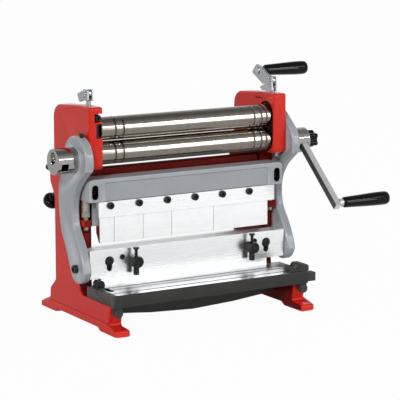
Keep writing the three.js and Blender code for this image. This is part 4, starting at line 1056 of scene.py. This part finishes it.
pin_radius, pin_head, arm_thick = 5.0, 6.5, arm_outer - arm_inner
pin_length = span("right_arm_pin")[1].x - arm_inner
for name, side in SIDES.items():
    node = f"{name}_arm"
    inside, outside = side * (arm_inner - OVER), side * (arm_outer + OVER)
    arm = slab(node + "_finished", "x", arm_outline(side > 0), side * arm_inner, side * arm_outer,
               edge=3.4, steps=5)
    carve(arm, [
        rod("pin", pin_radius + FIT, (inside, pin_y, pin_z), (outside, pin_y, pin_z), 32),
        level_rod("ring", hub_radius + FIT, inside, outside, hub_z, 96),
    ])
    dress(arm, GREY, node)
    node = f"{name}_arm_pin"
    outwards = (side, 0, 0)
    pin = turned(node + "_finished", [
        (pin_radius, 0), (pin_radius, arm_thick + FIT), (pin_head, arm_thick + FIT),
        (pin_head, pin_length - 0.6), (pin_head - 0.6, pin_length), (0, pin_length),
    ], (side * arm_inner, pin_y, pin_z), outwards, 40)
    cut_socket(pin, 3.4, 4.3, (side * (arm_inner + pin_length), pin_y, pin_z), outwards)
    dress(pin, OXIDE, node)

# Oil nipple and its plug on the ring of the left arm
oil_x, nipple_y, plug_y, ring_top = -185.0, 2.5, -7.5, hub_z + ring_radius
nipple = turned("left_arm_nipple", [
    (3.0, -3), (3.0, 1.2), (1.9, 1.4), (1.9, 3.0), (2.4, 3.4), (2.4, 4.4), (1.6, 5.2), (0, 5.2),
], (oil_x, nipple_y, ring_top - 0.4), UP, 32)
dress(nipple, BRASS, body="left_link", edge=0.15)
plug = turned("left_arm_plug", [
    (2.6, -3), (2.6, 1.0), (3.4, 1.2), (3.4, 5.6), (2.8, 6.2), (0, 6.2),
], (oil_x, plug_y, ring_top - 2.4), UP, 6)
dress(plug, OXIDE, body="left_link", edge=0.3)


# Camera

PICTURE_PIXELS, FOCAL_PIXELS, SENSOR = 400, 1925.19, 36
CAMERA_PLACE = Vector((-1497.06, -2556.20, 714.38))
CAMERA_TURN = Matrix((
    (0.85906, 0.09115, -0.50370), (-0.51188, 0.15298, -0.84533), (0.0, 0.98402, 0.17807),
))
scene = bpy.context.scene
scene.view_settings.view_transform = "Standard"
camera = bpy.data.objects.new("camera", bpy.data.cameras.new("camera"))
scene.collection.objects.link(camera)
scene.camera = camera
camera.matrix_world = Matrix.Translation(TO_FRAME @ CAMERA_PLACE) @ CAMERA_TURN.to_4x4()
camera.data.sensor_width = SENSOR
camera.data.lens = FOCAL_PIXELS / PICTURE_PIXELS * SENSOR
camera.data.clip_end = 100


# Light

HEAD_AIM = (0, 0, 250)


def lamp(name, kind, energy, place, aim, size, tall=1.0):
    """A lamp aimed at a place; size is a sun's angle in degrees, or an area's width in metres."""
    data = bpy.data.lights.new(name, kind)
    data.energy = energy
    if kind == "AREA":
        data.shape = "RECTANGLE"
        data.size = size
        data.size_y = tall
    else:
        data.angle = math.radians(size)
    made = bpy.data.objects.new(name, data)
    scene.collection.objects.link(made)
    place, aim = TO_FRAME @ Vector(place), TO_FRAME @ Vector(aim)
    made.location = place
    made.rotation_euler = (place - aim).to_track_quat("Z", "Y").to_euler()


lamp("key", "SUN", 1.45, (-1700, -1700, 1400), (0, 0, 180), size=9)
lamp("front_box", "AREA", 13, (1510, -2535, 780), HEAD_AIM, size=0.5, tall=1.5)
lamp("front_line", "AREA", 8, (1430, -2400, 1370), HEAD_AIM, size=1.2, tall=0.06)

ROOM_TONE = (0.5, 0.5, 0.505, 1)
SKY_LOW, SKY_HIGH = 1.0, 0.14
SKY_BETWEEN = ((0.4, 0.9), (0.7, 0.5), (0.92, 0.16))


def grey(value):
    return (value, value, value, 1)


def mirrored(tree, rays):
    """One for rays that come from a mirroring or a clear face, and zero for the others."""
    return add(tree, "Math", {
        0: rays.outputs["Is Glossy Ray"], 1: rays.outputs["Is Transmission Ray"],
    }, operation="MAXIMUM").outputs[0]


# The camera sees white, mirroring faces see tones that darken upwards, and the rest an even room
world = bpy.data.worlds.new("studio")
scene.world = world
world.use_nodes = True
sky = world.node_tree
sky.nodes.clear()
direction = add(sky, "TexCoord").outputs["Generated"]
height = add(sky, "SeparateXYZ", {0: direction}).outputs["Z"]
ramp = add(sky, "ValToRGB", {"Fac": height})
stops = ramp.color_ramp.elements
stops[0].color = grey(SKY_LOW)
stops[1].color = grey(SKY_HIGH)
for position, value in SKY_BETWEEN:
    stops.new(position).color = grey(value)
rays = add(sky, "LightPath")
room = add(sky, "Background", {"Color": ROOM_TONE})
studio = add(sky, "Background", {"Color": ramp.outputs["Color"]})
white = add(sky, "Background", {"Color": grey(1)})
seen = add(sky, "MixShader", {0: mirrored(sky, rays), 1: room.outputs[0], 2: studio.outputs[0]})
chosen = add(sky, "MixShader", {
    0: rays.outputs["Is Camera Ray"], 1: seen.outputs[0], 2: white.outputs[0],
})
add(sky, "OutputWorld", {"Surface": chosen.outputs[0]})


# Floor: matt, and glowing by one share for the camera and by another for mirroring faces

FLOOR_TONE, FLOOR_RADIUS = 0.86, 25
camera_share, mirror_share = 0.96, 0.25
bpy.ops.mesh.primitive_circle_add(vertices=64, radius=FLOOR_RADIUS, fill_type="NGON")
floor = bpy.context.active_object
floor.name = "floor"
pale = bpy.data.materials.new("pale_floor")
pale.use_nodes = True
tree = pale.node_tree
tree.nodes.clear()
rays = add(tree, "LightPath")
matt = add(tree, "BsdfDiffuse", {"Color": grey(FLOOR_TONE)})
glow = add(tree, "Emission", {"Color": grey(1)})
shiny = add(tree, "Math", {0: mirrored(tree, rays), 1: mirror_share}, operation="MULTIPLY")
direct = add(tree, "Math", {0: rays.outputs["Is Camera Ray"], 1: camera_share}, operation="MULTIPLY")
share = add(tree, "Math", {0: direct.outputs[0], 1: shiny.outputs[0]}, operation="MAXIMUM")
both = add(tree, "MixShader", {0: share.outputs[0], 1: matt.outputs[0], 2: glow.outputs[0]})
add(tree, "OutputMaterial", {"Surface": both.outputs[0]})
floor.data.materials.append(pale)

bpy.context.view_layer.update()
